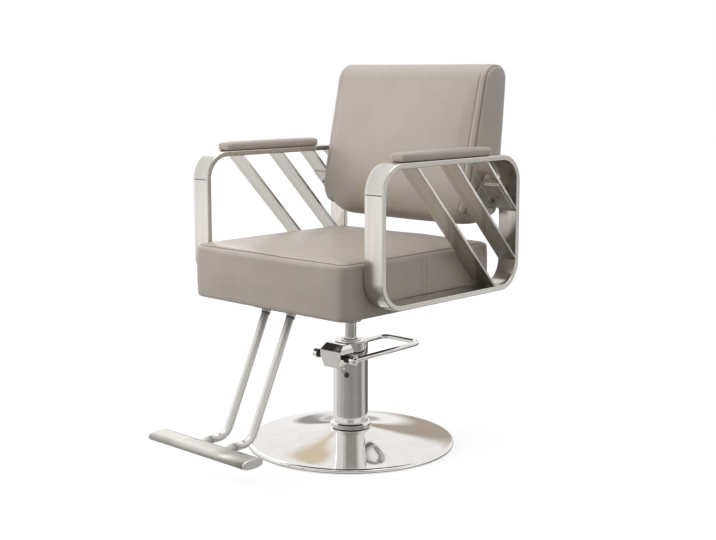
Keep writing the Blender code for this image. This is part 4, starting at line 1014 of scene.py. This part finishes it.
def build_foot_plate():
    """The oval foot plate with the flattened ends of the tubes in it, and a cap on each side."""
    low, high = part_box("foot_bar")
    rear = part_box("foot_bar_cap_right")[1].y
    middle, half_depth, half_height = (low.y + rear) / 2, (rear - low.y) / 2, 11 * MM
    # A power below 1 makes the oval fuller than an ellipse
    oval_sides, fullness, tube_overlap = 56, 0.72, 6 * MM
    oval = []
    for k in range(oval_sides):
        turn = 2 * math.pi * (k + 0.5) / oval_sides
        along, across = math.cos(turn), math.sin(turn)
        y = math.copysign(half_depth * abs(along) ** fullness, along)
        oval.append((y, math.copysign(half_height * abs(across) ** fullness, across)))
    places = (low.x, low.x / 3, high.x / 3, high.x)
    plate = bmesh.new()
    plate.from_mesh(loft([[(x, middle + y, FOOT_LEVEL + z) for y, z in oval] for x in places]))
    for _, label in SIDES:
        tube_low, tube_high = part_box(f"footrest_tube_{label}")
        plate.from_mesh(flattened_end((tube_low.x + tube_high.x) / 2, high.y, rear - tube_overlap))
    rigid("foot_plate", to_mesh(plate), plate_stainless, "seat", ["foot_bar"])
    for _, label in SIDES:
        node = f"foot_bar_cap_{label}"
        low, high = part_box(node)
        place = axes((low.x, middle, FOOT_LEVEL), Y, Z)
        cap = prism(oval, high.x - low.x, place, edge=1.2 * MM, steps=3)
        rigid(f"foot_plate_end_{label}", cap, foot_stainless, "seat", [node])


# Upholstery


def ticks(half, step, coarse, fine_zone, extra=()):
    """Places from -half to half: close near the ends and the extra places, wide apart between."""
    ends = int(fine_zone / step)
    made = [half - step * k for k in range(ends + 1)]
    inner = made[-1]
    count = max(1, round(2 * inner / coarse))
    made += [-half + step * k for k in range(ends + 1)]
    made += [-inner + 2 * inner * k / count for k in range(1, count)]
    for place in extra:
        made = [m for m in made if abs(m - place) > SEAM_CLEAR] + [place + tick for tick in SEAM_TICKS]
    return sorted(made)


def shell(places):
    """Surface of a box as keys into three lists of places, with the faces that join them."""
    counts = [len(p) - 1 for p in places]
    keys, faces = {}, []
    for axis in range(3):
        b, c = (axis + 1) % 3, (axis + 2) % 3
        for end in (0, counts[axis]):
            for i in range(counts[b]):
                for j in range(counts[c]):
                    corners = []
                    for di, dj in ((0, 0), (1, 0), (1, 1), (0, 1)):
                        key = [0, 0, 0]
                        key[axis], key[b], key[c] = end, i + di, j + dj
                        corners.append(keys.setdefault(tuple(key), len(keys)))
                    faces.append(corners if end else corners[::-1])
    return keys, faces


def eased_length(a, b):
    """A length of (a, b) that makes a corner bend slowly at first, as stuffed leather does."""
    return (abs(a) ** CORNER_EASE + abs(b) ** CORNER_EASE) ** (1 / CORNER_EASE)


def rounded(point, half, corner, edge):
    """A point of a box moved onto the slab with round corners in XY and round upper and lower edges."""
    x, y, z = point
    core = (half[0] - corner, half[1] - corner)
    inner = Vector((max(-core[0], min(core[0], x)), max(-core[1], min(core[1], y))))
    out = Vector((x, y)) - inner
    level = max(abs(out.x), abs(out.y))
    over = (level - corner + edge) / edge
    rise = (abs(z) - half[2] + edge) / edge
    if over > 0 and rise > 0:
        share = max(over, rise) / eased_length(over, rise)
        level = corner - edge + over * share * edge
        z = math.copysign(half[2] - edge + rise * share * edge, z)
    if out.length > 0:
        out *= level / eased_length(*out)
    return inner.x + out.x, inner.y + out.y, z


def meets(value, end):
    """Whether a place lies on a face of the box, but for the rounding of its number."""
    return abs(value - end) < FACE_TOLERANCE


def swell(value, half):
    """1 in the middle of a face, 0 at its edges; a power below 1 keeps it full until close to them."""
    return max(1 - (value / half) ** 2, 0)


def bell(distance, width):
    """1 on a line, falling away to nothing on both sides."""
    return math.exp(-((distance / width) ** 2))


def pillow(inside, run):
    """0 at a seam, rising to 1 further inside it."""
    return 1 - math.exp(-inside / run)


class Cover:
    """A sewn cover: the points of a box's surface, where each began, and where each lies now."""

    def __init__(self, places, place):
        """Takes three lists of places on a box, and the function that says where each point goes."""
        self.keys, faces = shell(places)
        self.start = [Vector([places[a][key[a]] for a in range(3)]) for key in self.keys]
        self.ends = [[0, len(p) - 1] for p in places]
        shape = bmesh.new()
        points = [shape.verts.new(place(*p)) for p in self.start]
        for face in faces:
            shape.faces.new([points[k] for k in face])
        self.mesh = to_mesh(shape)

    def on(self, axis, end):
        """Indices of the points on one face of the box; end is 0 or 1."""
        return {index for key, index in self.keys.items() if key[axis] == self.ends[axis][end]}

    def rim(self, axis, end, inset=0):
        """Indices in order round one face of the box, on its edge or some places inside it."""
        b, c = (axis + 1) % 3, (axis + 2) % 3
        first, nb, nc = inset, self.ends[b][1] - inset, self.ends[c][1] - inset
        walk = [(i, first) for i in range(first, nb)] + [(nb, j) for j in range(first, nc)]
        walk += [(i, nc) for i in range(nb, first, -1)] + [(first, j) for j in range(nc, first, -1)]
        made = []
        for i, j in walk:
            key = [0, 0, 0]
            key[axis], key[b], key[c] = self.ends[axis][end], i, j
            made.append(self.keys[tuple(key)])
        return made

    def corners(self, half, a, b, reach):
        """Indices of the points within reach of the four edges where the faces of two axes meet."""
        return {
            k
            for k, spot in enumerate(self.start)
            if abs(spot[a]) > half[a] - reach and abs(spot[b]) > half[b] - reach
        }

    def puff(self, made, held, cap, pressure):
        """Blows the cover up with a cloth simulation, its seams held and no point moved past cap."""
        group = made.vertex_groups.new(name="held")
        group.add(sorted(held), 1.0, "REPLACE")
        cover = made.modifiers.new("cover", "CLOTH")
        settings = cover.settings
        settings.quality = 5
        settings.mass = 0.02
        settings.tension_stiffness = 12
        settings.compression_stiffness = 12
        settings.shear_stiffness = 6
        settings.bending_stiffness = 0.3
        settings.use_pressure = True
        settings.uniform_pressure_force = pressure
        settings.vertex_group_mass = group.name
        settings.effector_weights.gravity = 0
        scene = bpy.context.scene
        for step in range(1, CLOTH_FRAMES + 1):
            scene.frame_set(step)
        blown = made.evaluated_get(bpy.context.evaluated_depsgraph_get()).data
        moves = [after.co - before.co for before, after in zip(self.mesh.vertices, blown.vertices)]
        moves = [move if move.length <= cap else move * (cap / move.length) for move in moves]
        for vert, move, soft in zip(self.mesh.vertices, moves, self.smoothed(moves, held)):
            vert.co += soft * (1 - CREASE_SHARE) + move * CREASE_SHARE
        made.modifiers.remove(cover)
        made.vertex_groups.clear()
        scene.frame_set(1)

    def smoothed(self, moves, held):
        """Moves evened out along the edges of the cover, and none where it is held."""
        near = [[] for _ in moves]
        for edge in self.mesh.edges:
            first, second = edge.vertices
            near[first].append(second)
            near[second].append(first)
        for _ in range(SMOOTHING_PASSES):
            moves = [
                Vector() if k in held else sum((moves[n] for n in near[k]), moves[k]) / (len(near[k]) + 1)
                for k in range(len(moves))
            ]
        return moves

    def press(self, depth):
        """Moves each point inwards by what depth gives for its place on the box."""
        self.mesh.update()
        normals = [v.normal.copy() for v in self.mesh.vertices]
        for vert, normal, spot in zip(self.mesh.vertices, normals, self.start):
            vert.co -= normal * depth(spot)

    def surface(self, made):
        """The finished cover as something that rays can be cast at."""
        rounding = made.modifiers.new("rounding", "SUBSURF")
        rounding.levels = rounding.render_levels = 1
        bpy.context.view_layer.update()
        return BVHTree.FromObject(made, bpy.context.evaluated_depsgraph_get())


def stitches(name, runs, length, thickness):
    """A seam's stitches: short spindles of thread, one for each place, way and outward way of the runs."""
    # How far the middle of a stitch stands out, and the girth below which it goes into the leatherette
    stand, sink = 0.25, 0.4
    turns = [2 * math.pi * k / STITCH_SIDES for k in range(STITCH_SIDES)]
    shape = bmesh.new()
    for spot, ahead, out in runs:
        ahead, out = ahead.normalized(), out.normalized()
        side = ahead.cross(out).normalized()
        rows = []
        for share, girth in STITCH_FORM:
            centre = spot + ahead * (length * share) + out * (thickness * stand * (girth - sink))
            radius = thickness / 2 * girth
            rows.append(
                [shape.verts.new(centre + radius * (side * math.cos(a) + out * math.sin(a))) for a in turns]
            )
        for here, there in zip(rows, rows[1:]):
            for k in range(STITCH_SIDES):
                m = (k + 1) % STITCH_SIDES
                shape.faces.new((here[k], here[m], there[m], there[k]))
        shape.faces.new(rows[0])
        shape.faces.new(rows[-1])
    return piece(name, to_mesh(shape), seam_thread, "seat")


def along_surface(tree, starts, direction, pitch):
    """Places a pitch apart on a surface, found by rays from starts along the direction."""
    hits = []
    for start in starts:
        spot, normal, _, _ = tree.ray_cast(start, direction)
        if spot is not None:
            hits.append((spot, normal))
    runs, walked = [], pitch
    for (spot, normal), (after, _) in zip(hits, hits[1:]):
        walked += (after - spot).length
        if walked >= pitch and (after - spot).length < pitch:
            runs.append((spot, after - spot, normal))
            walked = 0.0
    return runs


def build_seat():
    """The box seat cushion, with a welt round its top panel and two seams down each side."""
    low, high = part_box("seat_cushion")
    inset = 1.5 * MM
    half = (high.x - inset, (high.y - low.y) / 2 - inset, 67 * MM)
    centre = Vector((0, (low.y + high.y) / 2, low.z + half[2]))
    corner, edge, step, seam_steps = 35 * MM, 12 * MM, 3 * MM, 4
    seams = [y - centre.y for y in SEAT_SEAM_PLACES]
    # The sides are drawn in at their edges and full between
    drawn_in, full_share, belly, side_power = 2.5 * MM, 0.8, 1.2 * MM, 6
    # The top is a pillow with a crown and slight ripples
    top_pillow, top_run, crown = 4.5 * MM, 11 * MM, 7 * MM
    ripple, ripples_across, ripples_along, ripple_start, ripple_power = 1.5 * MM, 10, 4, 3.7, 0.5
    # Each groove has a depth and a width: under the welt, along the side seams and along the upper edge
    welt_groove, seam_groove, edge_groove = (2.8 * MM, 3.0 * MM), (1.5 * MM, 1.9 * MM), (0.9 * MM, 1.6 * MM)
    groove_fade, welt_radius, welt_rise = 6 * MM, 1.5 * MM, 2.4 * MM

    def inside(x, y):
        """How far inside the seam of the top panel a place lies."""
        return min(half[0] - abs(x), half[1] - abs(y)) - seam_steps * step

    def place(x, y, z):
        """Where a point of the box lies on the cover."""
        px, py, pz = rounded((x, y, z), half, corner, edge)
        full = swell(z, half[2])
        out, pull = belly * full, drawn_in * (1 - full_share * full)
        px += math.copysign(out - pull * swell(py, half[1]), px) * abs(px / half[0]) ** side_power
        py += math.copysign(out - pull * swell(px, half[0]), py) * abs(py / half[1]) ** side_power
        if meets(z, half[2]):
            wave = noise.noise(Vector((x * ripples_across, y * ripples_along, ripple_start)))
            pz += top_pillow * pillow(max(inside(x, y), 0), top_run)
            pz += crown * swell(x, half[0]) * swell(y, half[1])
            pz += ripple * wave * swell(x, half[0]) ** ripple_power
        if meets(z, -half[2]):
            pz += inset
        return centre + Vector((px, py, pz))

    cover = Cover(
        [
            ticks(half[0], step, coarse=11 * MM, fine_zone=33 * MM),
            ticks(half[1], step, coarse=11 * MM, fine_zone=33 * MM, extra=seams),
            ticks(half[2], step, coarse=9 * MM, fine_zone=12 * MM),
        ],
        place,
    )
    made = piece("seat_upholstery", cover.mesh, cushion_leatherette, "seat", ["seat_cushion"])
    rim = cover.rim(2, 1, seam_steps)
    held = set(rim) | cover.on(2, 0) | cover.corners(half, 0, 1, reach=corner)
    cover.puff(made, held, cap=4 * MM, pressure=3)

    def depth(spot):
        """How deep the seams draw the cover in at a point of the box."""
        pressed = 0
        if meets(spot.z, half[2]):
            pressed += welt_groove[0] * bell(inside(spot.x, spot.y), welt_groove[1])
        if meets(abs(spot.x), half[0]):
            fade = min(1, max(0, (half[2] - abs(spot.z)) / groove_fade))
            pressed += fade * sum(seam_groove[0] * bell(spot.y - seam, seam_groove[1]) for seam in seams)
            pressed += edge_groove[0] * bell(spot.z - half[2] + edge, edge_groove[1])
        return pressed

    cover.press(depth)
    sides = cover.surface(made)
    path = [cover.mesh.vertices[k].co + Z * welt_rise for k in rim]
    welt = tube(path, welt_radius, Z, sides=10, closed=True)
    # The welt's paler leatherette is painted highlight along the seat's top edge
    piece("seat_top_seam", welt, welt_leatherette_painted_highlight, "seat")
    sew_seat(sides, low.z + 14 * MM)


def sew_seat(sides, foot):
    """A row of stitches on the outer side of each side seam, found by rays from beside the seat."""
    beside, away, rays = 0.3, 2.6 * MM, 110
    runs = []
    for side, _ in SIDES:
        for y in (SEAT_SEAM_PLACES[0] - away, SEAT_SEAM_PLACES[1] + away):
            starts = [Vector((side * beside, y, foot + k * RAY_STEP)) for k in range(rays)]
            runs += along_surface(sides, starts, Vector((-side, 0, 0)), pitch=6.5 * MM)
    stitches("seat_side_stitches", runs, length=4.6 * MM, thickness=0.9 * MM)


def back_front(rise):
    """Front of the backrest, this far above its foot, which is tucked in behind the seat."""
    tuck = BACK_TUCK_DEPTH * max(1 - rise / BACK_TUCK_HEIGHT, 0) ** 2
    return BACK_FOOT + rise * math.tan(BACK_FRONT_LEAN) + tuck


def back_rear(rise):
    """Rear of the backrest, this far above its foot."""
    return BACK_FOOT + BACK_FOOT_THICKNESS + rise * math.tan(BACK_REAR_LEAN)


def build_back():
    """The wedge of the backrest, with a gusset on each side and a line sewn beside it."""
    low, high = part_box("back_cushion")
    bottom, top = low.z - 2 * MM, high.z
    corner, edge = 42 * MM, 18 * MM
    front_corner, rear_corner = 84 * MM, 50 * MM
    # The gussets are full, and the front swells most at the sitter's waist, with slight ripples
    gusset_swell, lumbar_swell, front_swell, lumbar_height = 5.5 * MM, 17 * MM, 2 * MM, -25 * MM
    gusset_powers, lumbar_power, front_power = (0.6, 0.35), 0.75, 0.4
    ripple, ripples_across, ripple_start = 0.8 * MM, 7, 1.3
    # Each groove has a depth and a width: at the gusset's seam, and along the line sewn beside it
    seam_groove, line_groove = (2.2 * MM, 2.6 * MM), (1.6 * MM, 2.0 * MM)
    # The box of the cover is measured as depth, height and width
    height = top - bottom
    half = ((back_rear(height) - back_front(height)) / 2, height / 2 - 0.5 * MM, high.x - 6.5 * MM)
    line = half[2] - 19 * MM

    def place(d, h, w):
        """Where a point of the box lies on the cover."""
        pd, ph, pw = rounded((d, h, w), half, corner, edge)
        to_rear = (pd + half[0]) / (2 * half[0])
        foot_corner = front_corner + (rear_corner - front_corner) * to_rear
        over = abs(pw) - half[2] + foot_corner
        under = foot_corner - half[1] - ph
        if over > 0 and under > 0:
            kept = max(over, under) / math.hypot(over, under)
            pw -= math.copysign(over * (1 - kept), pw)
            ph += under * (1 - kept)
        if meets(abs(w), half[2]):
            full = swell(d, half[0]) ** gusset_powers[0] * swell(h, half[1]) ** gusset_powers[1]
            pw += math.copysign(gusset_swell * full, pw)
        rise = height / 2 + ph
        above = ph - lumbar_height
        lumbar = swell(above, half[1] - math.copysign(lumbar_height, above))
        across = swell(pw, half[2])
        wave = noise.noise(Vector((pw * ripples_across, ph * ripples_across, ripple_start)))
        bulge = lumbar_swell * across**lumbar_power * lumbar + front_swell * across**front_power
        shift = ripple * wave * across - bulge * (1 - to_rear) ** 2
        front, rear = back_front(rise), back_rear(rise)
        return Vector((pw, front + (rear - front) * to_rear + shift, bottom + rise))

    cover = Cover(
        [
            ticks(half[0], step=3.5 * MM, coarse=6 * MM, fine_zone=38 * MM),
            ticks(half[1], step=4 * MM, coarse=12 * MM, fine_zone=52 * MM),
            ticks(half[2], step=3 * MM, coarse=12 * MM, fine_zone=54 * MM, extra=(line, -line)),
        ],
        place,
    )
    made = piece("back_upholstery", cover.mesh, cushion_leatherette, "seat", ["back_cushion"])
    rims = [cover.rim(2, 0), cover.rim(2, 1)]
    held = set(rims[0]) | set(rims[1]) | cover.on(0, 1) | cover.corners(half, 1, 2, reach=12 * MM)
    cover.puff(made, held, cap=4 * MM, pressure=3)

    def depth(spot):
        """How deep the seams draw the cover in at a point of the box."""
        if meets(abs(spot.z), half[2]):
            inside = min(half[0] - abs(spot.x), half[1] - abs(spot.y))
            return seam_groove[0] * bell(inside, seam_groove[1])
        sewn = seam_groove[0] * bell(half[2] - abs(spot.z), seam_groove[1])
        return sewn + line_groove[0] * bell(abs(spot.z) - line, line_groove[1])

    cover.press(depth)
    front_face = cover.surface(made)
    fold_cords(cover, rims, half)
    sew_back(front_face, line, bottom + 30 * MM, top - 20 * MM)


def fold_cords(cover, rims, half):
    """The cord folded into each gusset's seam, which is open along its foot."""
    radius, rise = 1.5 * MM, 0.4 * MM

    def seam_order(k):
        """Up the front edge of a gusset, over its top and down its rear edge."""
        spot = cover.start[k]
        return spot.x, -spot.y if meets(spot.x, half[0]) else spot.y

    for rim, (side, label) in zip(rims, SIDES[::-1]):
        sewn = sorted((k for k in rim if not meets(cover.start[k].y, -half[1])), key=seam_order)
        path = [cover.mesh.vertices[k].co + X * side * rise for k in sewn]
        cord = tube(path, radius, X, sides=8)
        piece(f"back_side_seam_{label}", cord, seam_leatherette, "seat")


def sew_back(front_face, line, foot, top):
    """A row of stitches beside each sewn line, found by rays from in front of the backrest."""
    ahead, away = -0.2, 2.8 * MM
    rays = int((top - foot) / RAY_STEP)
    runs = []
    for side, _ in SIDES:
        starts = [Vector((side * (line - away), ahead, foot + k * RAY_STEP)) for k in range(rays)]
        runs += along_surface(front_face, starts, Y, pitch=7 * MM)
    stitches("back_edge_stitches", runs, length=4.8 * MM, thickness=0.9 * MM)


def build_rear_panel():
    """The upholstered panel on the rear of the backrest."""
    low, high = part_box("back_panel")
    half = (high.x, (high.z - low.z) / math.cos(BACK_REAR_LEAN) / 2, 7 * MM)
    middle = Vector((0, (low.y + high.y) / 2, (low.z + high.z) / 2))
    tilt = Matrix.Rotation(-BACK_REAR_LEAN, 4, "X")
    up, out = tilt @ Z, tilt @ Y
    corner, edge, rise = 30 * MM, 6 * MM, 1.2 * MM
    face_pillow, face_run, crown = 2.5 * MM, 16 * MM, 2.5 * MM

    def place(x, y, z):
        """Where a point of the box lies on the cover."""
        px, py, pz = rounded((x, y, z), half, corner, edge)
        if z > 0:
            pz += face_pillow * pillow(min(half[0] - abs(x), half[1] - abs(y)), face_run)
            pz += crown * swell(x, half[0]) * swell(y, half[1])
        return middle + X * px + up * py + out * (pz + rise)

    cover = Cover(
        [
            ticks(half[0], step=4 * MM, coarse=14 * MM, fine_zone=32 * MM),
            ticks(half[1], step=4 * MM, coarse=14 * MM, fine_zone=32 * MM),
            ticks(half[2], step=3 * MM, coarse=5 * MM, fine_zone=3 * MM),
        ],
        place,
    )
    made = piece(
        "rear_upholstery", cover.mesh, rear_leatherette, "seat", ["back_panel"]
    )
    cover.puff(made, set(cover.rim(2, 1)) | cover.on(2, 0), cap=2 * MM, pressure=2)
    cover.surface(made)


def build_pad(label):
    """The upholstered pad on one arm."""
    node = f"arm_pad_{label}"
    low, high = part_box(node)
    inset = 0.5 * MM
    half = ((high.x - low.x) / 2 - inset, (high.y - low.y) / 2 - inset, 10 * MM)
    centre = Vector(((low.x + high.x) / 2, (low.y + high.y) / 2, low.z + half[2]))
    corner, edge = 14.5 * MM, 8 * MM
    belly, side_power, crown, crown_power = 0.5 * MM, 4, 1.8 * MM, 0.25

    def place(x, y, z):
        """Where a point of the box lies on the cover."""
        px, py, pz = rounded((x, y, z), half, corner, edge)
        px += math.copysign(belly * swell(z, half[2]), px) * abs(px / half[0]) ** side_power
        if meets(z, half[2]):
            pz += crown * swell(x, half[0]) * swell(y, half[1]) ** crown_power
        return centre + Vector((px, py, pz))

    cover = Cover(
        [
            ticks(half[0], step=2 * MM, coarse=4 * MM, fine_zone=14 * MM),
            ticks(half[1], step=2 * MM, coarse=7 * MM, fine_zone=14 * MM),
            ticks(half[2], step=2 * MM, coarse=3 * MM, fine_zone=8 * MM),
        ],
        place,
    )
    made = piece(f"arm_rest_{label}", cover.mesh, cushion_leatherette, "seat", [node])
    cover.puff(made, cover.on(2, 0), cap=1 * MM, pressure=2)
    cover.surface(made)


# Pieces of the CAD frame that show as they are


def finish_cad_nodes():
    """Gives a finish to the solids that no finer piece stands for."""
    fasteners = [f"{name}_{k}" for name in ("column_bolt", "seat_bolt", "arm_screw") for k in range(1, 5)]
    fasteners += [f"{name}_{label}" for name in ("back_bolt", "slat_screw") for _, label in SIDES]
    finishes = {
        rolled_steel: ("base_plate", "arm_angle_right", "arm_angle_left"),
        zinc_steel: fasteners,
        honed_steel: ("cylinder_tube", "piston", "pump_plunger", "plunger_spring", "pump_rocker"),
        black_rubber: ("piston_seal",),
        seat_plywood: ("seat_board",),
    }
    for material, names in finishes.items():
        for name in names:
            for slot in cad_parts[name].material_slots:
                slot.material = material


# Studio


def build_camera():
    """The camera of the photograph."""
    scene = bpy.context.scene
    scene.view_settings.view_transform = "Standard"
    camera = bpy.data.objects.new("camera", bpy.data.cameras.new("camera"))
    scene.collection.objects.link(camera)
    right = Vector((math.cos(LOOK_TURN), math.sin(LOOK_TURN), 0))
    level = Vector((-math.sin(LOOK_TURN), math.cos(LOOK_TURN), 0))
    ahead = level * math.cos(LOOK_DOWN) - Z * math.sin(LOOK_DOWN)
    turn = Matrix((right, right.cross(ahead), -ahead)).transposed().to_4x4()
    camera.matrix_world = Matrix.Translation(EYE) @ turn
    camera.data.sensor_width = SENSOR_WIDTH
    camera.data.lens = FOCAL_PIXELS / PICTURE_WIDTH * SENSOR_WIDTH
    scene.camera = camera


def shown_rays(tree):
    """1 for rays from the camera, from mirrors and through clear pieces, which see the white room."""
    path = add_node(tree, "ShaderNodeLightPath")
    seen = path.outputs["Is Camera Ray"]
    for kind in ("Is Glossy Ray", "Is Transmission Ray"):
        both = add_node(tree, "ShaderNodeMath", {0: seen, 1: path.outputs[kind]}, operation="MAXIMUM")
        seen = both.outputs["Value"]
    return seen


def build_room():
    """White all round for the eye and for mirrors, and a dimmer light on matt surfaces."""
    world = bpy.data.worlds.new("studio")
    bpy.context.scene.world = world
    world.use_nodes = True
    tree = world.node_tree
    tree.nodes.clear()
    room = add_node(tree, "ShaderNodeBackground", {"Color": linear("#FFFFFF"), "Strength": ROOM_LIGHT})
    white = add_node(tree, "ShaderNodeBackground", {"Color": linear("#FFFFFF"), "Strength": 1.0})
    both = add_node(
        tree,
        "ShaderNodeMixShader",
        {0: shown_rays(tree), 1: room.outputs["Background"], 2: white.outputs["Background"]},
    )
    add_node(tree, "ShaderNodeOutputWorld", {"Surface": both.outputs["Shader"]})


def build_floor():
    """Seamless paper: matt, lifted to white for the eye and for mirrors, and it keeps the chair's shadow."""
    paper, tree = new_material("seamless_white_paper")
    matt = add_node(tree, "ShaderNodeBsdfDiffuse", {"Color": linear("#959595")})
    place = add_node(tree, "ShaderNodeTexCoord").outputs["Object"]
    away = add_node(tree, "ShaderNodeVectorMath", {0: place}, operation="LENGTH")
    level = add_node(
        tree,
        "ShaderNodeMapRange",
        {"Value": away.outputs["Value"], "From Min": 0.4, "From Max": 5.0, "To Min": 0.80, "To Max": 0.93},
    )
    lift = add_node(
        tree, "ShaderNodeEmission", {"Color": linear("#FFFFFF"), "Strength": level.outputs["Result"]}
    )
    lifted = add_node(tree, "ShaderNodeAddShader", {0: matt.outputs["BSDF"], 1: lift.outputs["Emission"]})
    shown = add_node(
        tree,
        "ShaderNodeMixShader",
        {0: shown_rays(tree), 1: matt.outputs["BSDF"], 2: lifted.outputs["Shader"]},
    )
    add_node(tree, "ShaderNodeOutputMaterial", {"Surface": shown.outputs["Shader"]})
    shape = bmesh.new()
    bmesh.ops.create_circle(shape, cap_ends=True, radius=FLOOR_RADIUS, segments=64)
    floor = bpy.data.objects.new("studio_floor", to_mesh(shape))
    floor.data.materials.append(paper)
    bpy.context.scene.collection.objects.link(floor)


def build_lamps():
    """Softboxes round the chair."""
    for name, spot, aim, size, power, mirrored in SOFTBOXES:
        data = bpy.data.lights.new(name, "AREA")
        data.shape = "RECTANGLE"
        data.size, data.size_y = size
        data.energy = power
        made = bpy.data.objects.new(name, data)
        made.location = spot
        made.rotation_euler = (Vector(aim) - Vector(spot)).to_track_quat("-Z", "Y").to_euler()
        made.visible_glossy = mirrored
        bpy.context.scene.collection.objects.link(made)


def show_card(name, rows, tones):
    """A card over rows of points, each painted with the light it gives, that only reflections see."""
    shape = bmesh.new()
    tint = shape.loops.layers.float_color.new("tone")
    verts = [[shape.verts.new(p) for p in row] for row in rows]
    for r in range(len(rows) - 1):
        for k in range(len(rows[0]) - 1):
            corners = ((r, k), (r, k + 1), (r + 1, k + 1), (r + 1, k))
            face = shape.faces.new([verts[i][j] for i, j in corners])
            for loop, (i, j) in zip(face.loops, corners):
                loop[tint] = (*tones[i][j], 1)
    made = bpy.data.objects.new(name, to_mesh(shape))
    card, tree = new_material(name)
    paint = add_node(tree, "ShaderNodeAttribute", attribute_name="tone")
    glow = add_node(tree, "ShaderNodeEmission", {"Color": paint.outputs["Color"], "Strength": 1.0})
    add_node(tree, "ShaderNodeOutputMaterial", {"Surface": glow.outputs["Emission"]})
    made.data.materials.append(card)
    bpy.context.scene.collection.objects.link(made)
    made.visible_camera = made.visible_diffuse = made.visible_shadow = made.visible_transmission = False


def card_ring(name, inner, outer, greys):
    """Cards side by side on the floor between two radii, in warm greys that run softly together: they glow,
    and paint reflections in shiny surfaces.
    """
    parts, blend = 6, 0.5
    turns, tones = [], []
    for step in range(parts * len(greys) + 1):
        along = step / parts - 0.5
        here = math.floor(along)
        mix = min(max((along - here - 0.5) / blend + 0.5, 0), 1)
        grey = greys[here % len(greys)] * (1 - mix) + greys[(here + 1) % len(greys)] * mix
        turns.append(2 * math.pi * step / parts / len(greys))
        tones.append([grey * warmth for warmth in CARD_WARMTH])
    rows = [[(r * math.cos(a), r * math.sin(a), CARD_LIFT) for a in turns] for r in (inner, outer)]
    show_card(name, rows, [tones, tones])


def room_card(name, way, width, low, high, colour):
    """A curved glowing card at the far end of the room that fades to white at its edges, and paints
    reflections in shiny surfaces.
    """
    row_steps, turn_steps, fade = 8, 12, 4
    rows, tones = [], []
    for up in (i / row_steps for i in range(row_steps + 1)):
        row, row_tones = [], []
        for across in (j / turn_steps for j in range(turn_steps + 1)):
            turn = math.radians(way + width * (across - 0.5))
            row.append((ROOM_REACH * math.cos(turn), ROOM_REACH * math.sin(turn), low + (high - low) * up))
            share = min(min(up, 1 - up) * fade, 1) * min(min(across, 1 - across) * fade, 1)
            row_tones.append([1 - share * (1 - c) for c in colour])
        rows.append(row)
        tones.append(row_tones)
    show_card(name, rows, tones)


build_dish()
build_column()
build_plug()
build_head()
build_gland()
build_pedal()
build_ram()
for _, arm_label in SIDES:
    build_arm(arm_label)
build_brackets()
build_seat_plate()
build_legs()
build_foot_plate()
build_seat()
build_back()
build_rear_panel()
for _, arm_label in SIDES:
    build_pad(arm_label)
finish_cad_nodes()
build_camera()
build_room()
build_floor()
build_lamps()
# Grey cards on the floor and in the room, which show only in bright surfaces and give them their streaks
for ring in CARD_RINGS:
    card_ring(*ring)
for card in ROOM_CARDS:
    room_card(*card)
